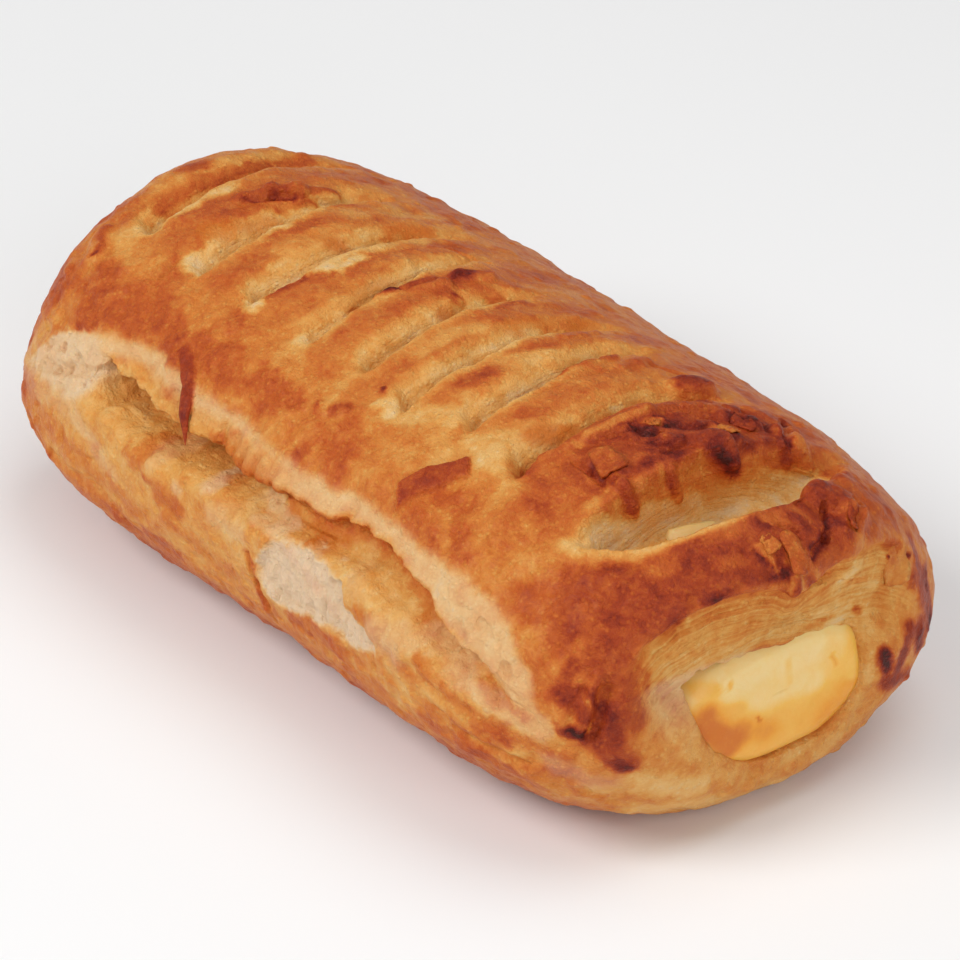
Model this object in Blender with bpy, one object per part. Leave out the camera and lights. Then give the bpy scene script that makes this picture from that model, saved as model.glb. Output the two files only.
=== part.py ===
# A cream cheese pastry: one sheet of puff pastry folded over a log of sweet cream cheese.
# The top is slashed across into straps, one long side shows the edge of the folded sheet,
# and the filling shows at both ends, most at the front one, and at the bottom of the widest slash.
# Metres, +Z up, +X along the pastry towards the front end, -Y the side with the seam.

from math import pi

import bmesh
import bpy
import numpy as np

# Whole pastry
LENGTH = 0.140
WIDTH = 0.083
HEIGHT = 0.047
WAIST = 0.0186  # height of the greatest width
SUNK = 0.0045  # the underside is cut this much above its round bottom, which leaves it flat
BACK_PLAN, FRONT_PLAN = 4.92, 3.98  # exponents of the outline seen from above
RISE = (8.19, 6.75, 6.2, 4.2)  # exponents of the outline seen from the side: upper back and front, lower
NEAR_SHOULDER, FAR_SHOULDER, UNDER_SHOULDER = 1.96, 1.69, 2.0  # exponents of the section
TUCK, TUCK_X, TUCK_SPREAD = 0.0025, 0.014, 0.042  # how far the near side is drawn in below the seam, and where
TUCK_FROM, TUCK_FULL = 0.033, 0.014  # heights between which it comes

# Mesh of the dough before it is thinned out
SIDE_CELLS = 46  # a quarter of the points of a ring, and the cells across an end
STATION_STEP = 0.001
CAP_SHARE = 0.80  # share of the width that an end grid covers
DOUGH_TRIANGLES = 8000

# Slashes from the back end to the front one: x at the near end, the middle and the far end,
# y where it starts and stops, width and depth
SLASHES = (
    (-0.0530, -0.0538, -0.0520, -0.0195, 0.0170, 0.0058, 0.0055),
    (-0.0380, -0.0380, -0.0372, -0.0210, 0.0120, 0.0042, 0.0050),
    (-0.0262, -0.0246, -0.0222, -0.0210, 0.0160, 0.0038, 0.0048),
    (-0.0122, -0.0128, -0.0146, -0.0205, 0.0120, 0.0030, 0.0040),
    (-0.0006, -0.0010, -0.0012, -0.0200, 0.0120, 0.0036, 0.0046),
    (0.0102, 0.0100, 0.0116, -0.0215, 0.0170, 0.0036, 0.0046),
    (0.0214, 0.0205, 0.0194, -0.0200, 0.0150, 0.0036, 0.0046),
    (0.0342, 0.0336, 0.0352, -0.0205, 0.0180, 0.0044, 0.0052),
)
SLASH_END = 0.004  # length over which a slash runs out
STRAP_SAG, STRAP_ROUND = 0.0014, 0.0024  # how far a strap's edges sink, and over what width

# The widest slash, a crescent between the last two straps
MOUTH_BACK, MOUTH_WIDE = 0.0480, 0.0145  # x of its straight side, and its greatest width
MOUTH_Y, MOUTH_HALF = 0.0020, 0.0245
MOUTH_FLOOR = 0.0368
MOUTH_SLOPE = 0.0028  # how far its walls lean in
MOUTH_SHORTER = 0.78  # length of its floor against the length at the crust
MOUTH_BOW, MOUTH_TIPS = 2.5, 0.6  # exponents of its curved side: a fuller middle, sharper tips
MOUTH_POINTS = 16

# Edge of the folded sheet along the near side, x and z
SEAM = (
    (-0.070, 0.0290), (-0.050, 0.0318), (-0.040, 0.0334), (-0.028, 0.0338), (-0.020, 0.0327),
    (-0.008, 0.0337), (0.004, 0.0330), (0.020, 0.0341), (0.033, 0.0333), (0.045, 0.0306),
    (0.055, 0.0288), (0.064, 0.0240),
)
SEAM_DEEP, SEAM_SHALLOW = 0.0036, 0.0022  # the gap under the edge, towards the back end and the front one
SEAM_CHANGE = 0.002  # x where the gap changes from one to the other
SEAM_START, SEAM_STOP = (-0.0700, -0.0600), (0.0540, 0.0640)  # x over which it comes and goes
SEAM_LIP = 0.0010  # how far the edge droops over the gap
ROLL_CREASE = ((-0.006, 0.0270), (0.008, 0.0298), (0.020, 0.0312), (0.038, 0.0308))
CREASE_DEPTH, CREASE_HALF = 0.0008, 0.0014

# Torn patch under the seam, burst flap on the shoulder and drip over the seam
PATCH_X, PATCH_Z = 0.0162, 0.0250
PATCH_LENGTH, PATCH_HEIGHT, PATCH_TILT = 0.0250, 0.0074, 0.10
PATCH_DEPTH = 0.0010
FLAP_X, FLAP_Z = 0.0245, 0.0408
FLAP_LENGTH, FLAP_HEIGHT, FLAP_TILT = 0.0092, 0.0044, 0.12
FLAP_THICK = 0.0008
DRIP = ((-0.0290, 0.0392), (-0.0250, 0.0375), (-0.0200, 0.0345), (-0.0185, 0.0335))
DRIP_HALF, DRIP_THICK = 0.0011, 0.0008

# Ends: the cut face of the last strap slopes in under an arch, with a hole below it.
# arch: middle y, top z, half width, height of its springing; foot: z and depth of the cut face's foot;
# hole: middle y, z of its greatest width, half width, top z, bottom z, exponents above and below
FRONT_END = {
    "side": 1, "arch": (0.0000, 0.0378, 0.0245, 0.0290), "foot": (0.0252, 0.0042),
    "hole": (-0.0005, 0.0205, 0.0138, 0.0256, 0.0100, 4.0, 1.9),
}
BACK_END = {
    "side": -1, "arch": (0.0010, 0.0340, 0.0220, 0.0270), "foot": (0.0240, 0.0034),
    "hole": (0.0010, 0.0200, 0.0125, 0.0240, 0.0120, 3.0, 2.0),
}
HOLE_POINTS = 32
HOLE_START, HOLE_STOP = 0.062, 0.075  # distance from the middle over which a hole is cut
HOLE_TAPER = 0.94
LIP_DIP, LIP_WIDTH = 0.0010, 0.0030  # the dough sinks a little towards a hole
ARCH_SIDE, ARCH_EDGE = 0.0090, 0.0016  # widths over which the cut face starts, at its sides and its top
FOOT_FADE = 0.0080  # height below the foot over which the face meets the rounded form again
WAVE = 0.0002  # unevenness of the baked sheet

# Filling
FILL_BACK, FILL_FRONT = -0.0680, 0.0698
FILL_WIDTH = 0.0325
FILL_BOTTOM, FILL_TOP, FILL_WAIST = 0.0082, 0.0345, 0.0225
FILL_PLAN, FILL_RISE, FILL_SHOULDERS = (7.0, 14.0), (6.0, 9.0, 6.0, 9.0), (2.6, 2.6, 2.4)  # as the dough's
FILL_CELLS, FILL_STEP = 9, 0.0046
FILL_DROOP, DROOP_FROM, DROOP_TO = 0.26, 0.0480, 0.0640  # its top falls by this share towards each end
FILL_LEAN = 0.13  # how far its ends lean back for each unit of height
SWELL_X, SWELL_Y = 0.0515, -0.0005  # where its top swells up into the widest slash
SWELL_RISE, SWELL_SPREAD = 0.0050, 0.0058
CLEARANCE = 0.0003


def clear_scene():
    for thing in list(bpy.data.objects):
        bpy.data.objects.remove(thing, do_unlink=True)


def ease(start, stop, value):
    # 0 before start, 1 after stop and a smooth curve between them
    t = np.clip((value - start) / (stop - start), 0.0, 1.0)
    return t * t * (3.0 - 2.0 * t)


def hill(distance, half):
    # 1 on a line, falling smoothly to 0 at the distance half
    return 1.0 - ease(0.0, half, np.abs(distance))


def round_off(t, exponent):
    return np.maximum(1.0 - np.abs(t) ** exponent, 0.0) ** (1.0 / exponent)


def signed_power(value, exponent):
    return np.sign(value) * np.abs(value) ** exponent


class Loaf:
    # A long rounded body: superellipses in plan, in profile and in section

    def __init__(self, back, front, width, bottom, top, waist, plan, rise, shoulders):
        self.middle, self.half_length = (back + front) / 2.0, (front - back) / 2.0
        self.half_width = width / 2.0
        self.bottom, self.top, self.waist = bottom, top, waist
        self.plan, self.rise, self.shoulders = plan, rise, shoulders

    def point(self, along, angle):
        # along runs from -1 to 1, and angle 0 is the far side and a quarter turn is up
        side, lift = np.cos(angle), np.sin(angle)
        plan = np.where(along < 0.0, self.plan[0], self.plan[1])
        above = np.where(along < 0.0, self.rise[0], self.rise[1])
        below = np.where(along < 0.0, self.rise[2], self.rise[3])
        slim, low = round_off(along, plan), round_off(along, np.where(lift < 0.0, below, above))
        near, far, under = self.shoulders
        upper = np.where(side < 0.0, near, far)
        power = 2.0 / np.where(lift < 0.0, under, upper)
        reach = np.where(lift < 0.0, self.waist - self.bottom, self.top - self.waist)
        x = self.middle + self.half_length * along
        y = self.half_width * slim * signed_power(side, power)
        z = self.waist + reach * low * signed_power(lift, power)
        return np.stack([x + 0.0 * y, y, z], axis=-1)

    def ring_angles(self, count):
        # angles that are equally far apart round the widest section, from the lower near corner
        fine = np.linspace(-0.75 * pi, 1.25 * pi, 4001)
        places = self.point(np.zeros_like(fine), fine)
        run = np.concatenate([[0.0], np.cumsum(np.linalg.norm(np.diff(places, axis=0), axis=1))])
        corners = np.interp([-0.75 * pi, -0.25 * pi, 0.25 * pi, 0.75 * pi, 1.25 * pi], fine, run)
        quarter = count // 4
        marks = [np.linspace(a, b, quarter, endpoint=False) for a, b in zip(corners[:-1], corners[1:])]
        return np.interp(np.concatenate(marks), run, fine)

    def mesh(self, cells, step):
        # rings along the body, closed by a square grid at each end
        angles = self.ring_angles(4 * cells)
        reach = round_off(CAP_SHARE, np.array(self.plan))
        count = max(2, round(self.half_length * (reach[0] + reach[1]) / step))
        stations = np.linspace(-reach[0], reach[1], count + 1)
        grid = self.point(stations[:, None], angles[None, :])
        points = [tuple(p) for p in grid.reshape(-1, 3)]
        around = len(angles)
        faces = []
        for i in range(count):
            for j in range(around):
                k = (j + 1) % around
                faces.append((i * around + j, i * around + k, (i + 1) * around + k, (i + 1) * around + j))
        for end in (0, 1):
            ring = end * count * around
            self.close(points, faces, cells, angles, ring, end)
        return np.array(points), faces

    def close(self, points, faces, cells, angles, ring, end):
        closed = np.append(angles, angles[0] + 2.0 * pi)
        index = {}
        for i in range(cells + 1):
            for j in range(cells + 1):
                s, t = 2.0 * i / cells - 1.0, 2.0 * j / cells - 1.0
                size = max(abs(s), abs(t))
                if size == 0.0:
                    mark = 0.0
                elif t == -size:
                    mark = (s / size + 1.0) / 2.0 * cells
                elif s == size:
                    mark = cells + (t / size + 1.0) / 2.0 * cells
                elif t == size:
                    mark = 2 * cells + (1.0 - s / size) / 2.0 * cells
                else:
                    mark = 3 * cells + (1.0 - t / size) / 2.0 * cells
                if size == 1.0:
                    index[i, j] = ring + round(mark) % (4 * cells)
                    continue
                angle = np.interp(mark, np.arange(len(closed)), closed)
                along = float(round_off(CAP_SHARE * size, self.plan[end]))
                index[i, j] = len(points)
                points.append(tuple(self.point(np.array(along if end else -along), np.array(angle))))
        for i in range(cells):
            for j in range(cells):
                face = (index[i, j], index[i + 1, j], index[i + 1, j + 1], index[i, j + 1])
                faces.append(face if end else face[::-1])


def new_object(name, points, faces):
    mesh = bpy.data.meshes.new(name)
    mesh.from_pydata([tuple(p) for p in points], [], faces)
    mesh.validate()
    thing = bpy.data.objects.new(name, mesh)
    bpy.context.collection.objects.link(thing)
    return thing


def point_normals(points, faces):
    # one normal for each point, from the faces round it
    mesh = bmesh.new()
    for point in points:
        mesh.verts.new(point)
    mesh.verts.ensure_lookup_table()
    for face in faces:
        mesh.faces.new([mesh.verts[i] for i in face])
    mesh.normal_update()
    normals = np.array([tuple(vert.normal) for vert in mesh.verts])
    mesh.free()
    return normals


def along_line(x, line):
    return np.interp(x, [p[0] for p in line], [p[1] for p in line])


def tuck(x, y, z):
    # how far the lower near side is drawn in
    spread = np.exp(-(((x - TUCK_X) / TUCK_SPREAD) ** 2))
    return TUCK * spread * ease(TUCK_FROM, TUCK_FULL, z) * ease(0.0, 0.5 * WIDTH / 2, -y)


def slash_relief(x, y):
    # depth of the narrow slashes, with the edges of the straps sinking towards them
    drop = np.zeros_like(x)
    for near, middle, far, start, stop, gap, depth in SLASHES:
        t = (y - start) / (stop - start)
        line = near * (1 - t) * (1 - 2 * t) + 4 * middle * t * (1 - t) - far * t * (1 - 2 * t)
        across = np.abs(x - line)
        ends = ease(0.0, SLASH_END, y - start) * ease(0.0, 2 * SLASH_END, stop - y)
        wall = 1.0 - ease(0.20 * gap, 0.55 * gap, across)
        sag = STRAP_SAG * np.exp(-((np.maximum(across - gap / 2, 0.0) / STRAP_ROUND) ** 2))
        drop = np.maximum(drop, ends * (sag + (depth - STRAP_SAG) * wall))
    return drop


def tilted_box(x, z, centre_x, centre_z, length, height, tilt, edge):
    # 1 inside a tilted rectangle with soft edges
    u = (x - centre_x) * np.cos(tilt) + (z - centre_z) * np.sin(tilt)
    v = (z - centre_z) * np.cos(tilt) - (x - centre_x) * np.sin(tilt)
    return ease(0.0, edge, length / 2 - np.abs(u)) * ease(0.0, edge, height / 2 - np.abs(v))


def side_relief(x, y, z):
    # (out, down) on the near side: the seam, the roll's crease, the torn patch, the flap and the drip
    above = z - along_line(x, SEAM)
    fade = ease(*SEAM_START, x) * (1.0 - ease(*SEAM_STOP, x))
    gap = SEAM_DEEP + (SEAM_SHALLOW - SEAM_DEEP) * ease(-0.012, 0.012, x - SEAM_CHANGE)
    recess = gap * fade * ease(0.0007, -0.0005, above) * ease(-0.0090, -0.0030, above)
    droop = SEAM_LIP * fade * ease(-0.0002, 0.0005, above) * (1.0 - ease(0.0010, 0.0040, above))
    start, stop = ROLL_CREASE[0][0], ROLL_CREASE[-1][0]
    run = ease(start, start + 0.006, x) * (1.0 - ease(stop - 0.006, stop, x))
    crease = CREASE_DEPTH * run * hill(z - along_line(x, ROLL_CREASE), CREASE_HALF)
    patch = PATCH_DEPTH * tilted_box(
        x, z, PATCH_X, PATCH_Z, PATCH_LENGTH, PATCH_HEIGHT, PATCH_TILT, CREASE_HALF
    )
    flap = FLAP_THICK * tilted_box(x, z, FLAP_X, FLAP_Z, FLAP_LENGTH, FLAP_HEIGHT, FLAP_TILT, CREASE_HALF / 2)
    span = ease(DRIP[0][0] - 0.001, DRIP[0][0], x) * (1.0 - ease(DRIP[-1][0], DRIP[-1][0] + 0.001, x))
    drip = DRIP_THICK * span * hill(z - along_line(x, DRIP), 2 * DRIP_HALF)
    out = flap + drip - recess - crease - patch
    return out, droop


def shield(hole, angle):
    # outline of a hole: boxy above its greatest width, rounder below
    middle, waist, half, top, bottom, above, below = hole
    side, lift = np.cos(angle), np.sin(angle)
    power = 2.0 / np.where(lift < 0.0, below, above)
    reach = np.where(lift < 0.0, waist - bottom, top - waist)
    return middle + half * signed_power(side, power), waist + reach * signed_power(lift, power)


def end_relief(end, y, z):
    # how far the surface of an end lies behind the rounded form
    middle, crown, half, spring = end["arch"]
    foot, depth = end["foot"]
    arch = spring + (crown - spring) * round_off(np.clip((y - middle) / half, -1.0, 1.0), 2.0)
    slope = np.clip((arch - z) / (crown - foot), 0.0, 1.0)
    sides = 1.0 - ease(half - ARCH_SIDE, half, np.abs(y - middle))
    within = sides * ease(0.0, ARCH_EDGE, arch - z) * ease(foot - FOOT_FADE, foot, z)
    face = depth * (0.10 + 0.90 * slope) * within
    centre, waist, wide, top, bottom = end["hole"][:5]
    ring = np.hypot((y - centre) / (wide + LIP_WIDTH), (z - waist) / (waist - bottom + LIP_WIDTH))
    return np.maximum(face, LIP_DIP * (1.0 - ease(0.80, 1.0, ring)))


def waves(x, y, z):
    # slow unevenness of the baked sheet, never outside the rounded form
    ripple = np.sin(95 * x + 40 * z + 0.6) + np.sin(150 * y - 60 * x + 1.9) + np.sin(210 * x + 130 * y)
    return WAVE * (ripple - 3.0) / 2.0


def make_material(name, colour, roughness):
    material = bpy.data.materials.new(name)
    material.use_nodes = True
    shader = material.node_tree.nodes["Principled BSDF"]
    shader.inputs["Base Color"].default_value = (*colour, 1.0)
    shader.inputs["Roughness"].default_value = roughness
    shader.inputs["Metallic"].default_value = 0.0
    return material


def make_dough():
    loaf = Loaf(
        -LENGTH / 2, LENGTH / 2, WIDTH, -SUNK, HEIGHT, WAIST,
        (BACK_PLAN, FRONT_PLAN), RISE, (NEAR_SHOULDER, FAR_SHOULDER, UNDER_SHOULDER),
    )
    points, faces = loaf.mesh(SIDE_CELLS, STATION_STEP)
    points[:, 1] += tuck(*points.T)
    normals = point_normals(points, faces)
    x, y, z = points.T
    top = ease(0.30, 0.60, normals[:, 2])
    near = ease(0.15, 0.45, -normals[:, 1])
    out, droop = side_relief(x, y, z)
    shift = normals * (near * out + waves(x, y, z))[:, None]
    shift[:, 2] -= top * slash_relief(x, y) + near * droop
    for end in (FRONT_END, BACK_END):
        facing = ease(0.35, 0.75, end["side"] * normals[:, 0])
        shift[:, 0] -= end["side"] * facing * end_relief(end, y, z)
    points = points + shift
    points[:, 2] = np.maximum(points[:, 2], 0.0)
    dough = new_object("dough", points, faces)
    dough.data.materials.append(make_material("baked_dough", (0.60, 0.30, 0.10), 0.45))
    thin = dough.modifiers.new("Thin out", "DECIMATE")
    thin.decimate_type = "COLLAPSE"
    thin.ratio = DOUGH_TRIANGLES / (2 * len(faces))
    return dough


def filling_shape():
    loaf = Loaf(
        FILL_BACK, FILL_FRONT, FILL_WIDTH, FILL_BOTTOM, FILL_TOP, FILL_WAIST,
        FILL_PLAN, FILL_RISE, FILL_SHOULDERS,
    )
    points, faces = loaf.mesh(FILL_CELLS, FILL_STEP)
    x, y, z = points.T
    height = z - FILL_BOTTOM
    fall = FILL_DROOP * ease(DROOP_FROM, DROOP_TO, np.abs(x))
    swell = np.exp(-((x - SWELL_X) ** 2 + (y - SWELL_Y) ** 2) / SWELL_SPREAD**2)
    points[:, 2] = FILL_BOTTOM + height * (1.0 - fall) + SWELL_RISE * swell * ease(FILL_WAIST, FILL_TOP, z)
    points[:, 0] = x - np.sign(x) * FILL_LEAN * height * ease(0.045, 0.066, np.abs(x))
    return points, faces


def prism(name, rings):
    # a closed solid through outlines of equal length, capped at both ends
    count = len(rings[0])
    points = [point for ring in rings for point in ring]
    faces = [tuple(range(count))[::-1], tuple(range(len(points) - count, len(points)))]
    for i in range(len(rings) - 1):
        for j in range(count):
            k = (j + 1) % count
            faces.append((i * count + j, i * count + k, (i + 1) * count + k, (i + 1) * count + j))
    return new_object(name, points, faces)


def make_hole_cutter(name, end):
    angles = np.linspace(0.0, 2.0 * pi, HOLE_POINTS, endpoint=False)
    y, z = shield(end["hole"], angles)
    rings = []
    for distance, scale in ((HOLE_START, HOLE_TAPER), (HOLE_STOP, 1.0)):
        middle, waist = end["hole"][:2]
        rings.append([
            (end["side"] * distance, middle + scale * (a - middle), waist + scale * (b - waist))
            for a, b in zip(y, z)
        ])
    return prism(name, rings if end["side"] > 0 else rings[::-1])


def make_mouth_cutter(name):
    # crescent outlines at the floor and above the crust, counter-clockwise seen from above
    rings = []
    rise = 1.6 * (HEIGHT - MOUTH_FLOOR)  # well above the crust
    spread = MOUTH_SLOPE * rise / (HEIGHT - MOUTH_FLOOR)
    turn = np.linspace(-pi / 2, pi / 2, MOUTH_POINTS)
    t = np.sin(turn)
    for height, grow, share in ((0.0, 0.0, MOUTH_SHORTER), (rise, spread, 1.0)):
        wide = MOUTH_WIDE - 2 * MOUTH_SLOPE + 2 * grow
        back = MOUTH_BACK + MOUTH_SLOPE - grow
        y = MOUTH_Y + share * (MOUTH_HALF + grow - MOUTH_SLOPE) * t
        front = back + wide * (1.0 - np.abs(t) ** MOUTH_BOW) ** MOUTH_TIPS
        outline = list(zip(front, y)) + [(back, b) for b in y[-2:0:-1]]
        rings.append([(x, y, MOUTH_FLOOR + height) for x, y in outline])
    return prism(name, rings)


def main():
    clear_scene()
    dough = make_dough()
    points, faces = filling_shape()
    filling = new_object("filling", points, faces)
    filling.data.materials.append(make_material("cream_cheese", (0.83, 0.62, 0.24), 0.40))
    cutters = (
        make_mouth_cutter("mouth_cutter"),
        make_hole_cutter("front_hole_cutter", FRONT_END),
        make_hole_cutter("back_hole_cutter", BACK_END),
        new_object("filling_hollow", points + CLEARANCE * point_normals(points, faces), faces),
    )
    for cutter in cutters:
        cutter.hide_render = True
        cutter.display_type = "WIRE"
        cut = dough.modifiers.new(cutter.name, "BOOLEAN")
        cut.operation = "DIFFERENCE"
        cut.solver = "EXACT"
        cut.object = cutter
    for thing in (dough, filling):
        thing.data.shade_smooth()


main()
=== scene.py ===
# Looks of the cream cheese pastry: baked puff pastry round a log of sweet cream cheese.
# Shapes are worked out in millimetres and turned into metres when a mesh is made.
# +X points along the pastry to the open end, -Y is the side with the seam, +Z is up.

from itertools import product
from math import cos, pi, radians, sin

import bpy
import numpy as np
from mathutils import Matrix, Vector
from mathutils.bvhtree import BVHTree


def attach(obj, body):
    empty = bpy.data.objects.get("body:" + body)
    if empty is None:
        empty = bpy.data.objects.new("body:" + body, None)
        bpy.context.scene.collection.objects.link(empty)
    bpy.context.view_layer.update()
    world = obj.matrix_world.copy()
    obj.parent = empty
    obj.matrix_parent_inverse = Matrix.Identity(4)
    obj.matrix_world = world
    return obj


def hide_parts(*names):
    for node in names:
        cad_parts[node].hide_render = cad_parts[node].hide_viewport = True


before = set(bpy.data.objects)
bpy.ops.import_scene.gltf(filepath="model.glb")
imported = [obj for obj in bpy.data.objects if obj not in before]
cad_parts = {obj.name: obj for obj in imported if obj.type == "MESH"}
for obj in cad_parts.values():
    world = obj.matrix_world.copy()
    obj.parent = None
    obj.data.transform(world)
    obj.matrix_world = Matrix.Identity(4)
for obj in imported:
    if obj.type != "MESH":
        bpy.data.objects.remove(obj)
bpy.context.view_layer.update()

mm = 0.001
print("frame loaded")


# small helpers for fields over points

def ease(start, stop, value):
    t = np.clip((value - start) / (stop - start), 0.0, 1.0)
    return t * t * (3.0 - 2.0 * t)


def hill(distance, half):
    return 1.0 - ease(0.0, half, np.abs(distance))


def mix(a, b, share):
    return a + (b - a) * share


def roundOff(t, exponent):
    return np.maximum(1.0 - np.abs(t) ** exponent, 0.0) ** (1.0 / exponent)


def signedPower(value, exponent):
    return np.sign(value) * np.abs(value) ** exponent


def alongLine(x, line):
    return np.interp(x, [p[0] for p in line], [p[1] for p in line])


def lattice(points, cell, seed):
    # smooth value noise from -1 to 1, cell is a size or one size per axis
    q = points / np.array(cell) + 31.7 * seed
    low = np.floor(q)
    t = q - low
    t = t * t * (3.0 - 2.0 * t)
    low = low.astype(np.int64)
    total = np.zeros(len(points))
    for corner in product((0, 1), repeat=3):
        weight = np.prod(np.where(corner, t, 1.0 - t), axis=1)
        n = low + np.array(corner)
        h = (n[:, 0] * 374761393 + n[:, 1] * 668265263 + n[:, 2] * 1440662683 + seed * 974711) & 0xFFFFFFFF
        h = ((h ^ (h >> 13)) * 1274126177) & 0xFFFFFFFF
        total += weight * (((h ^ (h >> 16)) & 0xFFFF) / 32767.5 - 1.0)
    return total


def roughNoise(points, cell, seed, octaves=3):
    total, size, share = np.zeros(len(points)), np.array(cell, dtype=float), 1.0
    for k in range(octaves):
        total += share * lattice(points, size, seed + 7 * k)
        size, share = size / 2.1, share * 0.55
    return total


def segmentDistance(points, a, b):
    # distance from each point to the segment a b, and the share of the way along it
    a, b = np.array(a, dtype=float), np.array(b, dtype=float)
    run = b - a
    share = np.clip((points - a) @ run / max(run @ run, 1e-9), 0.0, 1.0)
    return np.linalg.norm(points - a - share[:, None] * run, axis=1), share


# the rounded form that everything sits on

loaf = {
    "back": -70.0, "front": 70.0, "width": 83.0, "bottom": -4.5, "top": 47.0, "waist": 18.6,
    "plan": (4.92, 3.98), "rise": (8.19, 6.75), "lowRise": (6.2, 4.2), "shoulders": (1.96, 1.69, 2.0),
}
tuck = {"depth": 2.5, "x": 14.0, "spread": 42.0, "from": 33.0, "full": 14.0, "side": 20.75}
fillingLoaf = {
    "back": -68.3, "front": 69.7, "width": 33.6, "bottom": 7.9, "top": 34.9, "waist": 22.5,
    "plan": (7.0, 14.0), "rise": (6.0, 9.0), "lowRise": (6.0, 9.0), "shoulders": (2.6, 2.6, 2.4),
    "droop": 0.26, "droopFrom": 48.0, "droopTo": 64.0, "lean": 0.13, "leanFrom": 45.0, "leanTo": 66.0,
    # the filling that rises into the wide slash
    "wedge": {
        "x": (49.6, 52.0), "end": (60.0, 64.0), "y": (-7.4, -6.4, 9.0), "rise": 5.2, "fall": 0.75,
    },
}


def byEnd(along, pair):
    # the first value towards the back, the second towards the front
    return np.where(along < 0.0, *pair)


def bodyPoint(form, along, angle):
    # along runs from -1 to 1, angle 0 is the far side and a quarter turn is up
    side, lift = np.cos(angle), np.sin(angle)
    rise = np.where(lift < 0.0, byEnd(along, form["lowRise"]), byEnd(along, form["rise"]))
    slim = roundOff(along, byEnd(along, form["plan"]))
    low = roundOff(along, rise)
    near, far, under = form["shoulders"]
    power = 2.0 / np.where(lift < 0.0, under, np.where(side < 0.0, near, far))
    reach = np.where(lift < 0.0, form["waist"] - form["bottom"], form["top"] - form["waist"])
    x = (form["back"] + form["front"]) / 2.0 + (form["front"] - form["back"]) / 2.0 * along
    y = form["width"] / 2.0 * slim * signedPower(side, power)
    z = form["waist"] + reach * low * signedPower(lift, power)
    return np.stack([x + 0.0 * y, y, z], axis=-1)


def bodyGrid(form, cells, step, capShare=0.8):
    # rings along the body, closed at each end by a square grid
    fine = np.linspace(-0.75 * pi, 1.25 * pi, 4001)
    run = np.linalg.norm(np.diff(bodyPoint(form, np.zeros(4001), fine), axis=0), axis=1)
    run = np.concatenate([[0.0], np.cumsum(run)])
    corners = np.interp(np.array([-0.75, -0.25, 0.25, 0.75, 1.25]) * pi, fine, run)
    marks = [np.linspace(a, b, cells, endpoint=False) for a, b in zip(corners[:-1], corners[1:])]
    angles = np.interp(np.concatenate(marks), run, fine)
    reach = roundOff(capShare, np.array(form["plan"]))
    count = round((form["front"] - form["back"]) / 2.0 * (reach[0] + reach[1]) / step)
    stations = np.linspace(-reach[0], reach[1], count + 1)
    around = 4 * cells
    points = [bodyPoint(form, stations[:, None], angles[None, :]).reshape(-1, 3)]
    ring = np.arange(around)
    faces = []
    for i in range(count):
        a, b = i * around + ring, i * around + (ring + 1) % around
        faces.append(np.stack([a, b, b + around, a + around], axis=1))
    closed = np.append(angles, angles[0] + 2.0 * pi)
    total = len(points[0])
    for end in (0, 1):
        s, t = np.meshgrid(*(np.linspace(-1.0, 1.0, cells + 1),) * 2, indexing="ij")
        size = np.maximum(np.abs(s), np.abs(t))
        u, v = s / np.maximum(size, 1e-9), t / np.maximum(size, 1e-9)
        edge = 1.0 - 1e-9
        mark = np.select(
            [v <= -edge, u >= edge, v >= edge],
            [(u + 1.0) / 2.0, 1.0 + (v + 1.0) / 2.0, 2.0 + (1.0 - u) / 2.0],
            3.0 + (1.0 - v) / 2.0,
        ) * cells
        index = np.where(size >= edge, end * count * around + np.round(mark).astype(int) % around, -1)
        inner = index < 0
        along = roundOff(capShare * size, form["plan"][end]) * (1.0 if end else -1.0)
        angle = np.interp(mark, np.arange(len(closed)), closed)
        index[inner] = total + np.arange(inner.sum())
        total += inner.sum()
        points.append(bodyPoint(form, along[inner], angle[inner]))
        quad = np.stack([index[:-1, :-1], index[1:, :-1], index[1:, 1:], index[:-1, 1:]], axis=-1)
        quad = quad.reshape(-1, 4)
        faces.append(quad if end else quad[:, ::-1])
    return np.concatenate(points), np.concatenate(faces)


def tuckIn(p):
    # how far the near side is drawn in below the seam
    spread = np.exp(-((p[:, 0] - tuck["x"]) / tuck["spread"]) ** 2)
    low = ease(tuck["from"], tuck["full"], p[:, 2])
    return tuck["depth"] * spread * low * ease(0.0, tuck["side"], -p[:, 1])


def bodyGauge(p):
    # 1 on the rounded form and less inside it
    y, lift = p[:, 1] - tuckIn(p), p[:, 2] - loaf["waist"]
    along = np.clip(p[:, 0] / loaf["front"], -0.9999, 0.9999)
    rise = np.where(lift < 0.0, byEnd(along, loaf["lowRise"]), byEnd(along, loaf["rise"]))
    slim = np.maximum(roundOff(along, byEnd(along, loaf["plan"])), 0.02)
    low = np.maximum(roundOff(along, rise), 0.02)
    near, far, under = loaf["shoulders"]
    power = np.where(lift < 0.0, under, np.where(y < 0.0, near, far))
    reach = np.where(lift < 0.0, loaf["waist"] - loaf["bottom"], loaf["top"] - loaf["waist"])
    a = np.abs(y) / (loaf["width"] / 2.0 * slim)
    b = np.abs(lift) / (reach * low)
    return (a ** power + b ** power + 1e-12) ** (1.0 / power)


def bodyFrame(p):
    # outward direction of the rounded form at each point, and the depth below it
    step = 0.05
    slope = np.stack([
        (bodyGauge(p + step * axis) - bodyGauge(p - step * axis)) / (2.0 * step) for axis in np.eye(3)
    ], axis=1)
    length = np.linalg.norm(slope, axis=1)
    return slope / length[:, None], (1.0 - bodyGauge(p)) / length


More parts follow.
